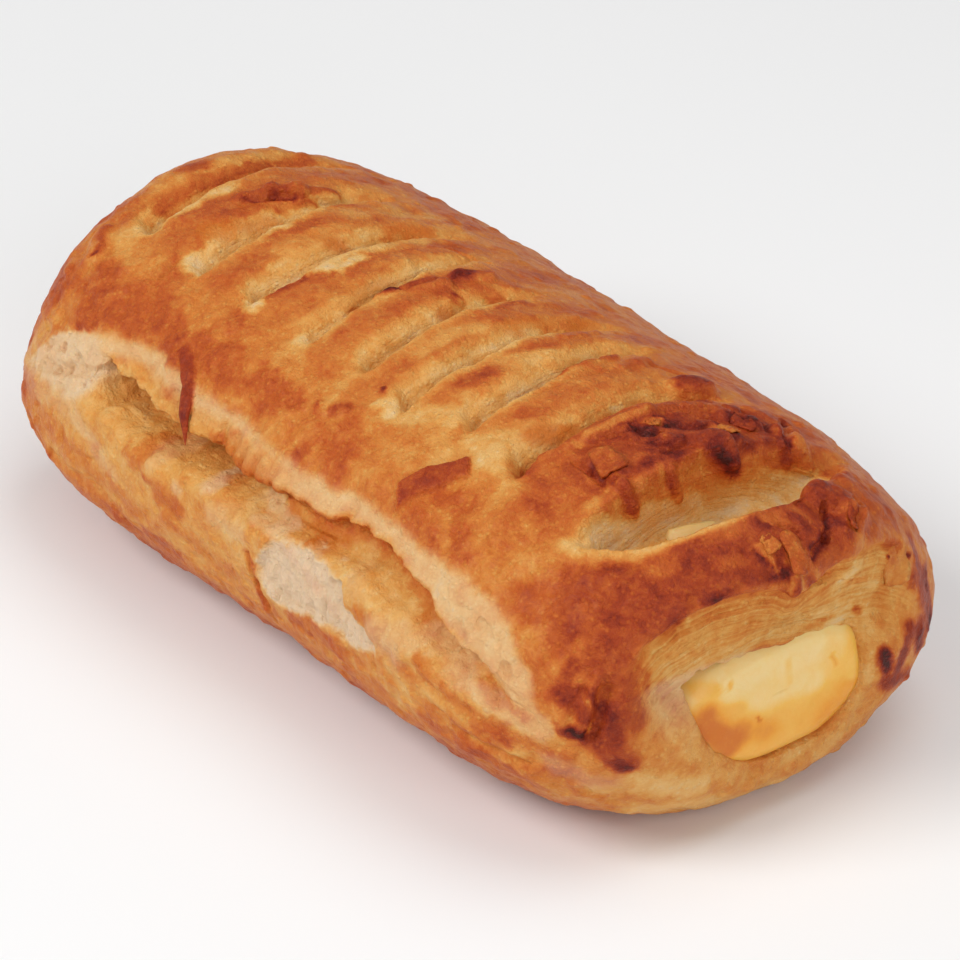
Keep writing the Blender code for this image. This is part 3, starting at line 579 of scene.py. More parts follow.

# browning, with some marks that darken it as painted shade in hollows and under edges: 0 is pale crumb, 1
# is charred. Each mark is a stroke from a to b, with its radius and browning

topMarks = [
    # back rim and the slope behind the first slash, x and y
    (-63, -14, -59, -19, 3.0, 0.51), (-62.6, -5, -62, -3, 1.8, 0.61), (-58.2, -12, -58.2, -4, 1.7, 0.59),
    (-57, -14.5, -55.4, -18, 1.5, 0.28), (-58.2, -4, -57.0, 13, 1.7, 0.60), (-55, 0, -54, 12, 1.8, 0.42),
    (-53.4, -18, -51.6, -6, 1.9, 0.12), (-54.2, -10, -53.6, -3, 1.4, 0.26), (-56, -20, -53, -22, 2.0, 0.26),
    (-55.6, -12, -55, -8, 1.2, 0.36), (-60, -21, -57, -25, 1.2, 0.66),
    (-57.3, -24.5, -56.6, -25.2, 0.6, 0.86), (-58.2, -24.8, -60.4, -28, 1.2, 0.46),
    (-58.4, -27.6, -56, -29, 1.8, 0.57), (-60.5, -30, -59, -31, 1.8, 0.63),
    # shoulder along the near side
    (-53, -27, -49, -28, 2.6, 0.61), (-51, -31, -48, -32, 2.0, 0.67), (-46, -28, -40, -27, 2.8, 0.57),
    (-44, -29.4, -37, -29, 2.4, 0.64), (-38, -27, -35, -28.5, 2.6, 0.61),
    (-32, -28.6, -29, -30.2, 2.0, 0.62), (-44, -20.5, -41, -23, 2.0, 0.53),
    (-33, -19.5, -32.4, -18, 1.6, 0.55), (-26, -22, -24, -23.5, 1.6, 0.55),
    (-21.5, -26.6, -17.6, -29.4, 1.9, 0.63), (-28, -27.6, -23, -29, 2.2, 0.60),
    (-20, -26.5, -15, -29.4, 1.5, 0.58), (-12.5, -27, -9, -29, 3.0, 0.60), (-9, -19, -6, -20, 2.5, 0.48),
    (-8.4, -26, -4.5, -27.2, 1.6, 0.62), (-2.5, -29.6, 1.5, -31.6, 1.8, 0.44),
    (-0.6, -26.4, 3.4, -24.4, 1.2, 0.67), (2.3, -27.2, 8.5, -31.2, 1.4, 0.58),
    (2, -31, 3, -32.5, 1.4, 0.68), (-1, -20, 0.4, -25.6, 1.6, 0.34), (6, -26, 9, -28, 2.0, 0.53),
    (7, -29, 10, -31, 1.8, 0.59), (10, -27, 17, -25.6, 1.4, 0.50), (10, -21, 17, -17.2, 2.0, 0.26),
    (18.5, -19, 23, -22.6, 2.2, 0.28), (14, -24, 18, -25, 2.6, 0.38), (26.5, -27.4, 33, -25.6, 2.0, 0.60),
    (34.5, -28.6, 37.5, -30.4, 1.5, 0.60), (35, -20.6, 39.5, -23, 2.2, 0.36), (39, -25, 43, -27, 2.8, 0.50),
    (24, -29, 32, -31, 2.0, 0.55), (48, -26, 46, -27, 2.0, 0.40), (50, -29.4, 54, -27, 2.4, 0.60),
    (55, -24.6, 57.4, -28.4, 2.6, 0.69),
    # straps from the back to the front
    (-50, -13, -48.6, -8, 1.6, 0.57), (-48, -12, -45.5, -10, 1.5, 0.63),
    (-45.4, -8.8, -42.6, -1.6, 1.2, 0.58), (-42.6, -1.6, -40.5, 2.8, 1.0, 0.50),
    (-47.4, -6, -45.6, -1.6, 1.2, 0.68), (-45.6, -1.6, -43.6, 1.6, 1.2, 0.68),
    # the thin strokes from x -46.2 to -40.6 are the crack's dark line and painted shade beneath the
    # crescent blister
    (-43.6, 1.6, -41.4, 6.6, 1.1, 0.62), (-46.2, -6.2, -44.4, -2.2, 0.4, 0.82),
    (-44.4, -2.2, -42.6, 1.2, 0.4, 0.80), (-42.6, 1.2, -40.6, 3, 0.4, 0.66),
    (-46, -13.2, -43, -15.6, 1.5, 0.56), (-41.5, -16, -39.8, -9, 1.4, 0.18),
    (-41.5, -18.6, -41, -18, 1.6, 0.07), (-40.5, -9, -38.6, 2, 1.5, 0.21), (-38, 3, -36, 6, 1.3, 0.56),
    (-34, 3.5, -31.6, 17, 2.2, 0.36), (-35.6, -8, -34, -2, 1.2, 0.59), (-32, -10, -31, 0, 1.6, 0.42),
    (-29.6, -12, -27.4, 4, 1.4, 0.27), (-28, 6, -26, 13, 1.3, 0.46), (-28, -17, -24.8, -8, 1.5, 0.17),
    (-27.4, -1.6, -26.2, 1.6, 0.8, 0.10), (-38.6, -9.2, -36.6, -5.8, 0.8, 0.14),
    (-40.2, -20.6, -38.6, -19.8, 1.0, 0.10), (-54.8, -18.2, -54, -16.4, 0.9, 0.16),
    (-25.6, -19.6, -25.3, -19.2, 1.6, 0.05), (-25, -8, -22.7, 3, 1.3, 0.17),
    (-24.7, -15.5, -21.4, -2.4, 0.9, 0.06), (-26.4, -10.4, -24.4, -7.6, 1.3, 0.08),
    (-23, 4, -22, 8, 1.6, 0.30), (-24.8, -16, -23.5, -11, 1.0, 0.71), (-23, -11, -21, -8, 1.0, 0.56),
    (-21.5, -14, -19, -16, 2.0, 0.49), (-19, 8, -17, 13, 1.5, 0.55), (-16, -17, -14, -6, 1.2, 0.30),
    (-16.4, -20.2, -12.4, -24.2, 1.3, 0.38), (-13.5, -20, -12.5, -19.6, 1.8, 0.09),
    (-13, -9.5, -12, -5, 1.1, 0.73), (-12.2, -5.2, -11.8, -4.6, 0.8, 0.94),
    (-11.5, -3, -10.5, 1, 1.3, 0.69), (-10.5, 1, -8, 4, 1.8, 0.71), (-9.5, 5.5, -7.6, 9, 1.3, 0.88),
    (-6.5, 0, -4.5, 0.5, 1.5, 0.65), (-6.2, 4.6, -3, 7, 1.3, 0.56), (-5.2, 1.2, -5, 1.4, 0.5, 0.88),
    (-7, 8, -5, 12, 1.8, 0.55), (-10, -12, -8, -15, 2.2, 0.54), (-3, -15, -1, -6, 1.2, 0.27),
    (-2.2, -5, -1.6, 2, 1.6, 0.16), (1, -14.5, 2.5, -16.5, 1.2, 0.44), (4.6, -19.6, 4.7, -19.3, 0.8, 0.88),
    (2.2, -12, 4.6, -1.4, 1.7, 0.36), (0.8, 4, 1.2, 9, 1.0, 0.66), (7.5, 8, 8, 14, 1.8, 0.46),
    (8, -17, 9.5, -10, 1.5, 0.19), (9.8, -21, 9, -20.6, 1.6, 0.07), (6, -22, 8.5, -20.8, 0.8, 0.15),
    (9.8, -9, 10.2, 4, 1.2, 0.17), (13.4, -11.5, 14, -7, 1.3, 0.67), (12.9, -5, 17.2, 2.3, 1.5, 0.30),
    (12.8, 6, 13, 12, 1.0, 0.57), (16, -4, 17, 4, 2.2, 0.26), (16.5, -14, 18.5, -10, 1.8, 0.34),
    (18.3, -18, 19, -10, 1.2, 0.21), (20.6, -8, 20.6, 0, 1.0, 0.67), (20.6, 0, 21, 9, 1.0, 0.64),
    (23.5, -5, 25, 2, 1.8, 0.47), (24, 9, 23.4, 13, 1.2, 0.60), (25, -18, 29, -13, 3.0, 0.23),
    (27, 6, 27.5, 18, 1.8, 0.43), (28.2, -4, 30.2, 12, 1.1, 0.40), (31, -8, 30.8, 0, 1.2, 0.34),
    (32, 4, 33.6, 16, 1.5, 0.52), (30.5, 13, 31.5, 16, 1.8, 0.82), (28.6, -18.6, 39.6, -17.6, 2.4, 0.16),
    (34.6, -20, 36.4, -18.8, 1.2, 0.12), (28.8, 24, 33.5, 23.2, 1.3, 0.66),
    # burnt strap behind the wide slash
    (35, -17, 38, 12, 3.5, 0.64), (41.4, -18, 42, 22, 4.8, 0.70), (37, -4, 38.5, -1, 1.1, 0.78),
    (35.8, -10, 36.8, 3, 0.9, 0.44), (37, 3, 37.6, 9, 1.0, 0.62), (36.5, 12, 39, 16.5, 1.0, 0.80),
    (37, 8, 38, 12.5, 1.2, 0.64), (38.5, -6, 44, -4, 2.0, 0.72), (42, -5.4, 44.4, -11, 1.5, 0.72),
    (44.6, -11.4, 46.6, -16, 1.2, 0.64), (39, 4, 44, 6, 2.0, 0.80), (39.6, -2, 41, -0.8, 1.5, 0.92),
    (39.2, 1.6, 42, 2.6, 1.2, 0.93), (42, 5.6, 43.6, 8.4, 1.1, 0.86), (43.4, -2.8, 45.4, -1.2, 1.0, 0.84),
    (44.8, -4.6, 46, -3.6, 0.9, 0.82), (39.4, 8.6, 41.4, 11.6, 0.7, 0.72),
    (41.8, 12, 43.6, 14.6, 0.9, 0.90), (43.4, 17, 45.6, 18, 0.9, 0.80), (45.8, 14.6, 48.4, 15.2, 0.9, 0.80),
    (38.8, -12.6, 42, -12.2, 0.6, 0.76), (42, -12.2, 45.2, -12.2, 0.9, 0.80),
    (40.8, 22.7, 48.6, 16.2, 0.8, 0.84), (38.6, 0.2, 39.4, 1.4, 0.7, 0.50), (44.3, 7.8, 46, 9, 0.8, 0.50),
    (39.2, 16.2, 45.6, 15.8, 0.9, 0.84), (36.5, -15, 41, -17, 2.4, 0.58), (44, -18, 46.5, -21, 2.6, 0.54),
    (49.4, -22.4, 53.6, -20.4, 1.7, 0.16), (37, -13, 43, -14, 1.6, 0.64), (40.5, -10, 43, -8, 1.4, 0.62),
    (45, 11, 47, 14, 1.6, 0.72), (44, 20, 47, 22, 2.0, 0.64),
    # last strap, with its burnt lumps
    (63, -16, 65, 8, 5.5, 0.74), (58, -22, 62, -24, 4.5, 0.71), (51, -20, 55, -17.5, 1.2, 0.20),
    (63.4, -1, 64.6, 5, 1.4, 0.56), (61.4, 11.4, 63.4, 14.6, 2.0, 0.78),
    (60.4, 15.5, 62.4, 17.5, 1.3, 0.84), (64.4, 14.4, 66.6, 11.4, 1.6, 0.80), (57, 22, 60, 24, 3.0, 0.66),
    (62.6, 20.5, 66.5, 12.5, 1.7, 0.62), (52, 20, 53.5, 22, 1.2, 0.42), (67.4, -3.8, 68.6, -1.6, 1.3, 0.97),
    (63.2, -1.8, 64.4, -0.6, 0.9, 0.84), (64.6, 4, 66.2, 5.2, 1.0, 0.86), (62, -9, 63, -6, 1.2, 0.62),
    (66, -9, 67, -7, 1.4, 0.64), (60.5, -17, 62, -15, 1.3, 0.60), (63.2, 10.8, 67.2, 7.8, 0.5, 0.90),
    (67.2, 7.8, 68.6, 4, 0.5, 0.90), (66, -3.4, 67.4, -2.2, 0.8, 0.52),
]
nearMarks = [
    # below the seam, x and z: the brown lower band, then the paler dough above it from left to right
    (-60, 5, 60, 5, 3.5, 0.56), (-59, 21, -55, 14, 2.4, 0.64), (-56, 23.5, -51.5, 18.5, 1.6, 0.54),
    (-55, 17, -48, 13, 3.0, 0.60), (-53, 20.6, -21, 16.8, 1.9, 0.47), (-48, 12.5, -14, 12, 3.0, 0.53),
    (-50, 15, -46, 13, 1.2, 0.72), (-34, 13.5, -28, 12.5, 1.0, 0.70), (-24, 14, -16, 13, 1.4, 0.68),
    (-14, 12.4, 0, 12.6, 2.4, 0.42), (-46, 27.2, -40, 24.4, 1.3, 0.22), (-40, 24.4, -35, 22, 1.3, 0.16),
    (-35, 22, -30, 20.2, 1.2, 0.18), (-33, 22.5, -30, 24, 1.8, 0.20), (-48, 28.8, -40, 31.0, 0.8, 0.38),
    (-40, 28.2, -22, 27.8, 2.6, 0.23), (-36, 22, -33, 19.5, 1.6, 0.42), (-28, 25.8, -24.5, 25, 1.3, 0.54),
    (-22.6, 24.6, -22.2, 24.2, 0.8, 0.70), (-26.5, 27, -24, 26.6, 0.8, 0.52),
    (-21, 27.2, -8, 26.8, 1.4, 0.28), (-3, 27.6, 0, 26.0, 1.2, 0.14), (-12, 19.4, -8, 19, 1.3, 0.30),
    (-20, 22.8, -14.5, 22.2, 1.7, 0.56), (-18.5, 20.5, -15, 19.5, 1.2, 0.52),
    (-16.2, 25.6, -15.8, 25.2, 0.8, 0.22), (-10.8, 27.8, -10.2, 27.2, 1.0, 0.20),
    # the strokes at z 31 to 31.6 under the sheet's edge and the one at z 29 to 30 are painted shade in the
    # recess under the lip
    (-7, 24.6, -1, 24.2, 2.0, 0.22), (-14, 31.4, -3, 31.6, 1.4, 0.56), (-3, 31.4, 12, 31.6, 1.6, 0.62),
    (-12, 23.5, -6, 21.5, 2.0, 0.36), (-12, 30, -8, 29, 1.4, 0.44), (-4, 22.5, 1, 22, 1.5, 0.18),
    (-12, 18, -4, 16.5, 2.2, 0.46), (-8, 14.4, -2.6, 11.8, 1.8, 0.36), (-3, 19, 1, 15, 1.5, 0.34),
    (1, 22.5, 2.2, 18, 0.8, 0.62), (2.2, 18, 4.5, 12, 0.8, 0.66), (4, 28.6, 15, 29.8, 1.3, 0.42),
    (-2, 28.6, 6, 27.6, 1.0, 0.12), (21.3, 28.2, 27, 26.2, 2.1, 0.08), (27, 27.2, 33, 27.9, 1.7, 0.12),
    # the strokes at z 30 to 31.9 from x 12 to 36 are painted shade in the groove under the lip
    (25.5, 24.8, 29, 25.5, 1.6, 0.44), (12, 31.9, 28, 31.8, 1.5, 0.60), (28, 31.9, 36, 30.0, 1.4, 0.57),
    (10, 16.2, 22, 17.3, 1.8, 0.64), (13, 18.8, 17, 18.6, 0.8, 0.62), (30.5, 24.4, 34, 23.5, 2.4, 0.24),
    (24.6, 18.4, 27.6, 17.4, 1.2, 0.52), (31.4, 25.2, 27.6, 21.4, 0.9, 0.42),
    (27, 21.4, 34, 22.4, 1.3, 0.40), (28, 19.6, 32, 18, 1.8, 0.42), (0, 12, 30, 13.5, 2.6, 0.52),
    # to the right: shadowed golden fold, whitish roll and brown stripes
    (34, 29.6, 38, 27.4, 1.2, 0.44), (34, 26.4, 37, 25.8, 1.4, 0.16), (38, 27.6, 45, 27.0, 1.4, 0.36),
    (38.9, 24.2, 41, 22.6, 1.2, 0.50), (40, 26.0, 46, 24.6, 1.2, 0.24), (45, 26.8, 52, 26.0, 1.4, 0.24),
    (46.7, 24.7, 51.4, 23.8, 1.0, 0.20), (51.4, 23.8, 59.8, 21.6, 1.0, 0.24),
    (59.8, 21.4, 63, 19.6, 1.0, 0.34), (49.3, 25.1, 53, 24.0, 0.6, 0.46), (53, 24.0, 57.1, 23.3, 0.6, 0.50),
    (50, 28.4, 57, 25, 1.4, 0.20), (50, 21.2, 55, 21.6, 0.8, 0.48), (45, 15, 48, 14.6, 1.2, 0.68),
    (35, 22, 39, 20.5, 1.4, 0.46), (44, 22.4, 50, 21, 1.1, 0.50), (50, 19.6, 58, 19.4, 1.5, 0.68),
    (58, 19.4, 62, 18, 1.3, 0.60), (52.5, 18.4, 54.8, 17.8, 0.9, 0.76), (46, 17, 52, 16.5, 1.7, 0.66),
    (49.5, 14.2, 54.6, 13.2, 1.3, 0.80), (50, 13, 57, 12, 1.5, 0.62), (40, 16, 46, 12, 2.0, 0.60),
    (57, 14.5, 62, 13, 1.6, 0.50), (48, 16.8, 56, 15.4, 0.6, 0.46), (60, 14.4, 64, 13.6, 1.2, 0.58),
    (60, 17.5, 64, 16.5, 1.5, 0.46), (38, 18.6, 45, 16.6, 1.2, 0.48), (62.3, 26, 62.6, 23, 1.0, 0.80),
    (58, 15.6, 65, 13.4, 1.6, 0.46), (60.8, 30, 62, 25, 1.8, 0.70), (60.2, 27.4, 63.8, 25, 1.2, 0.70),
    (64, 25, 65.8, 20, 1.9, 0.79), (60.6, 24.8, 61.2, 23.6, 0.8, 0.82), (61.2, 23.4, 62.6, 21.6, 1.1, 0.97),
    (63.2, 29, 63.0, 22.6, 0.45, 0.40), (65, 29, 64.6, 21, 1.2, 0.76), (53.3, 28.4, 53.8, 27.8, 0.8, 0.62),
]
whiteMarks = [
    # torn, whitish dough on the near side, x and z, with how white it is
    (38, 27.4, 45, 26.8, 1.4, 0.4), (40, 26.4, 46, 24.8, 1.4, 0.4), (45, 26.8, 50, 28.6, 1.8, 0.5),
    (50, 27.8, 56, 25, 1.6, 0.6), (56, 25, 58.6, 22.8, 1.2, 0.5), (46.7, 24.7, 51.4, 23.8, 1.1, 0.6),
    (51.4, 23.8, 59.8, 21.6, 1.0, 0.5), (-46, 27.2, -40, 24.4, 1.3, 0.4), (-40, 24.4, -35, 22, 1.4, 0.5),
    (-35, 22, -30, 20.2, 1.2, 0.4), (-16.2, 25.6, -15.8, 25.2, 0.9, 0.6),
    (-10.8, 27.8, -10.2, 27.2, 1.1, 0.8), (-7, 24.8, -1, 24.4, 2.0, 0.4), (-2, 28.6, 6, 27.6, 1.1, 0.6),
    (-24, 27.8, -21, 27, 1.1, 0.3), (30.5, 24.4, 34, 23.5, 2.6, 0.6), (34, 26.4, 37, 25.8, 1.4, 0.4),
    (-52, 24, -46, 25.4, 2.4, 0.4), (-60, 24, -56, 23, 2.4, 0.4), (60, 17.5, 65, 14, 1.6, 0.4),
]
frontMarks = [
    # y and z: browned corner, sheets round the hole, pale foot, burnt spots at the right
    (-24, 36, -19, 36, 2.0, 0.70), (-26, 31, -24.5, 24, 2.6, 0.68), (-29.5, 28, -29, 22, 1.2, 0.76),
    (-29.4, 22, -26, 17.8, 1.9, 0.74), (-27.4, 18.6, -25.8, 17.4, 1.1, 0.80),
    (-26.2, 17.6, -25.8, 16.6, 0.9, 0.88), (-31.5, 22.6, -30.4, 21.8, 1.0, 0.97),
    (-29.6, 27, -29.6, 22, 0.4, 0.42), (-13, 37.6, -10, 38, 0.9, 0.82),
    (-24.2, 36.6, -23.8, 36.4, 0.9, 0.80), (-17.6, 36.2, -16.8, 36, 0.9, 0.76),
    (-22.5, 29.6, -21.6, 26.8, 1.0, 0.56), (-20.6, 32, -19.8, 29, 1.2, 0.26),
    (-19, 27, -17.4, 22, 1.3, 0.40), (-18.6, 20, -15.5, 18.6, 1.2, 0.30), (-17, 17, -12, 13, 1.4, 0.26),
    (-24, 13.6, -15, 10.4, 2.2, 0.16), (-28, 12.6, -25, 13, 1.4, 0.30), (-22, 7, -10, 5, 2.2, 0.20),
    (-9, 7, -2, 6.4, 1.3, 0.34), (-10, 4, 4, 3, 1.6, 0.22), (-12, 12, -7, 8.6, 1.2, 0.28),
    (0.4, 8, 5, 9.0, 1.1, 0.26), (6, 6, 11, 8.6, 1.3, 0.24), (10.8, 12, 11.6, 14.6, 0.7, 0.10),
    # the stroke from y -5 to 10 at z 25.4 to 26 is painted shade under the arch's edge over the filling
    (14, 21, 11.6, 9, 1.5, 0.25), (-5, 25.4, 10, 26.0, 0.7, 0.38), (-27.6, 25.5, -27.2, 21.6, 1.2, 0.79),
    (14.2, 17.4, 14.8, 15, 0.9, 0.20), (14.2, 20, 14.6, 18.6, 0.9, 0.34), (13.6, 24, 17, 29, 1.8, 0.24),
    (9, 24.6, 12, 25.2, 1.0, 0.10), (14.4, 25.6, 14.8, 24.8, 0.6, 0.62), (10, 31.4, 13, 33.4, 1.4, 0.12),
    (18.4, 22, 20.4, 30, 1.8, 0.37), (21.6, 22, 22.4, 17, 0.5, 0.34), (17.3, 18.4, 18.0, 16.2, 1.4, 0.97),
    (25.5, 19, 26, 15, 1.6, 0.84), (23.4, 19.6, 20.8, 15.2, 1.4, 0.78), (28.6, 24, 29, 17, 1.6, 0.90),
    (20.5, 31.2, 24.5, 29.6, 0.5, 0.88), (20, 33.4, 23, 31.6, 1.0, 0.56), (26.6, 30, 27.2, 25, 1.2, 0.74),
    (18, 13.6, 23, 12, 1.6, 0.74), (3, 36.2, 3.3, 34.6, 0.9, 0.78),
]
wallMarks = [
    # x, y, z: the back wall of the wide slash, and the edge of the crust at the open end
    (46.4, -9, 46.4, 46.8, 14, 45.4, 1.6, 0.72), (48.6, -16.6, 41.0, 50.4, -11, 38.4, 2.4, 0.10),
    (49.0, -19.0, 39.6, 51.6, -16, 38.2, 2.4, 0.07), (47.0, -16.0, 43.8, 47.6, -13.2, 43.2, 1.4, 0.30),
    # the stroke from y -10.5 to 8 at z 37 is painted shade at the foot of the wall
    (50.1, -13, 38.8, 50.2, -4, 39.2, 1.6, 0.05), (52, -10.5, 37.4, 53, 8, 37.2, 1.2, 0.28),
    (47.6, -8.6, 44.2, 48.0, -6.6, 43.8, 1.2, 0.56), (46.4, -5.6, 46.6, 46.8, -2.0, 46.4, 1.4, 0.86),
    (44.4, 0.4, 46.9, 49.4, 4.6, 45.9, 1.2, 0.84), (48.4, 9.6, 44.2, 49.0, 13.4, 42.8, 1.4, 0.78),
    (46.8, 3.4, 46.0, 46.8, 8.4, 45.6, 1.2, 0.90), (47.4, 5.2, 46.6, 49.6, 5.6, 44.0, 2.8, 0.82),
    (49.6, 5.6, 44.0, 50.0, 6.6, 42.4, 1.7, 0.84), (48.6, 4.4, 46.0, 49.8, 5.2, 44.2, 1.4, 0.97),
    # the strokes from y 12.4 to 21.4 and from y 0 to 3.4 along the wall's top are burnt crust darkened
    # further as a painted shadow line under the rim
    (49.4, -9, 41.2, 50.0, 0, 39.8, 1.4, 0.12), (48.8, 12.4, 42.2, 51.6, 21.4, 37.6, 1.6, 0.60),
    (45.4, -4, 46.9, 48.4, -4.4, 46.0, 0.9, 0.80), (46.2, 0, 46.9, 46.4, 3.4, 46.8, 1.1, 0.78),
    (45.8, -12, 46.0, 47.4, -11.2, 45.0, 1.0, 0.80), (47.8, -11.4, 46.2, 49.8, -11.3, 42.6, 1.2, 0.76),
    (49.0, -4.4, 44.8, 49.8, -3.6, 41.6, 1.0, 0.82), (47.0, -4.0, 46.0, 48.4, -3.9, 45.0, 0.7, 0.66),
    (48.4, 15.8, 42.2, 49.2, 15.8, 39.8, 0.9, 0.82), (47.4, 14.6, 44.4, 48.2, 15.6, 42.8, 1.4, 0.74),
    (69, 0.6, 38.4, 69.5, 0.2, 35.4, 0.9, 0.76),
]
cornerMarks = [
    # x, y, z: browned corners and edges between the sides
    (-64, -24, 34, -62, -30, 30, 4.0, 0.62), (-66, -20, 36, -64, -16, 40, 3.0, 0.60),
    (66.2, -11, 40.2, 68.2, -4, 39.4, 1.2, 0.74), (60.4, -29.8, 31.6, 60.6, -31.6, 28.4, 1.5, 0.70),
    (60.6, -31.8, 27.8, 64.2, -30.2, 24.6, 1.7, 0.76), (60, -33, 16, 62.4, -31.4, 15.6, 1.4, 0.56),
    (-64.5, -31, 24, -62, -34, 18, 3.0, 0.68), (66, 26, 26, 65, 28, 20, 2.5, 0.76),
]
amberMarks = [
    # x, y on the straps where butter and glaze have pooled: deep orange
    (-45, -14, -43, -11, 1.8, 0.7), (-29, -3.4, -28, -1.8, 1.2, 1.0), (-3.8, -2.4, -3.2, -1.4, 1.2, 0.9),
    (29, -12, 33, -5.4, 1.6, 1.0), (8, 12, 8.5, 15, 1.3, 0.7), (5.6, 1.6, 6.8, 3, 1.2, 0.6),
    (-27, 7, -26, 12, 1.2, 0.6), (32, -8, 33, -3, 0.9, 0.7), (-42, -9, -40.5, -4, 1.0, 0.6),
    (-16, -9, -15, -3, 1.0, 0.5), (5.5, 3, 6.5, 9, 1.1, 0.5),
]
nearAmberMarks = [
    # the same below the seam, x and z
    (22.5, 28.5, 26.5, 26, 1.8, 0.3), (25.5, 24.8, 29, 25.5, 1.2, 0.5), (4, 28.6, 15, 29.8, 1.2, 0.6),
    (-12, 33, 0, 32.4, 1.2, 0.5), (34, 29.6, 37, 28.4, 1.2, 0.4), (-20, 22.8, -14.5, 22.2, 1.4, 0.4),
    (38.9, 24.2, 41, 22.6, 1.2, 0.5),
]


def cover(flat, marks):
    # yields how much each stroke covers every point, and the stroke's last value
    width = flat.shape[1]
    for mark in marks:
        a, b, radius, amount = mark[:width], mark[width:2 * width], mark[-2], mark[-1]
        distance, _ = segmentDistance(flat, a, b)
        yield 1.0 - ease(0.35 * radius, 1.4 * radius, distance), amount


def paint(bake, flat, marks, where):
    # lays the strokes over bake
    for share, amount in cover(flat, marks):
        bake = mix(bake, amount, share * where)
    return bake


def raised(flat, marks):
    # height of all the strokes together
    return sum(height * share for share, height in cover(flat, marks))


def strapPlace(x, y):
    # 0 at the back edge of a strap and 1 at its front edge
    lines = [slashLine(s, y) for s in slashes] + [np.full_like(x, mouth["back"] - 1.0)]
    place = np.full_like(x, 0.5)
    for back, front in zip(lines[:-1], lines[1:]):
        inside = (x >= back) & (x < front)
        place = np.where(inside, (x - back) / (front - back), place)
    return place


browningLook = {
    # grounds: browning, how uneven it is, size of its patches in millimetres, seed and octaves
    "top": (0.43, 0.05, 9.0, 51, 3), "near": (0.31, 0.09, (8.0, 6.0, 4.0), 52, 4),
    "back": (0.56, 0.06, 9.0, 50, 3), "far": (0.53, 0.08, 9.0, 53, 3), "under": (0.62, 0.06, 11.0, 54, 3),
    # single values, and pairs that run from one end of a face to the other
    "front": 0.38, "slash": (0.14, 0.28), "arch": (0.22, 0.40), "rear": (0.30, 0.48), "wall": (0.09, 0.46),
    # the drape's golden is partly the hanging edge's own colour, partly painted shade under it
    "rim": 0.20, "band": 0.18, "drapeAndShade": (0.35, 0.30), "torn": 0.0, "closed": 0.14,
    "nearContrast": 0.72, "warp": 0.8, "fineWarp": 0.35,
}


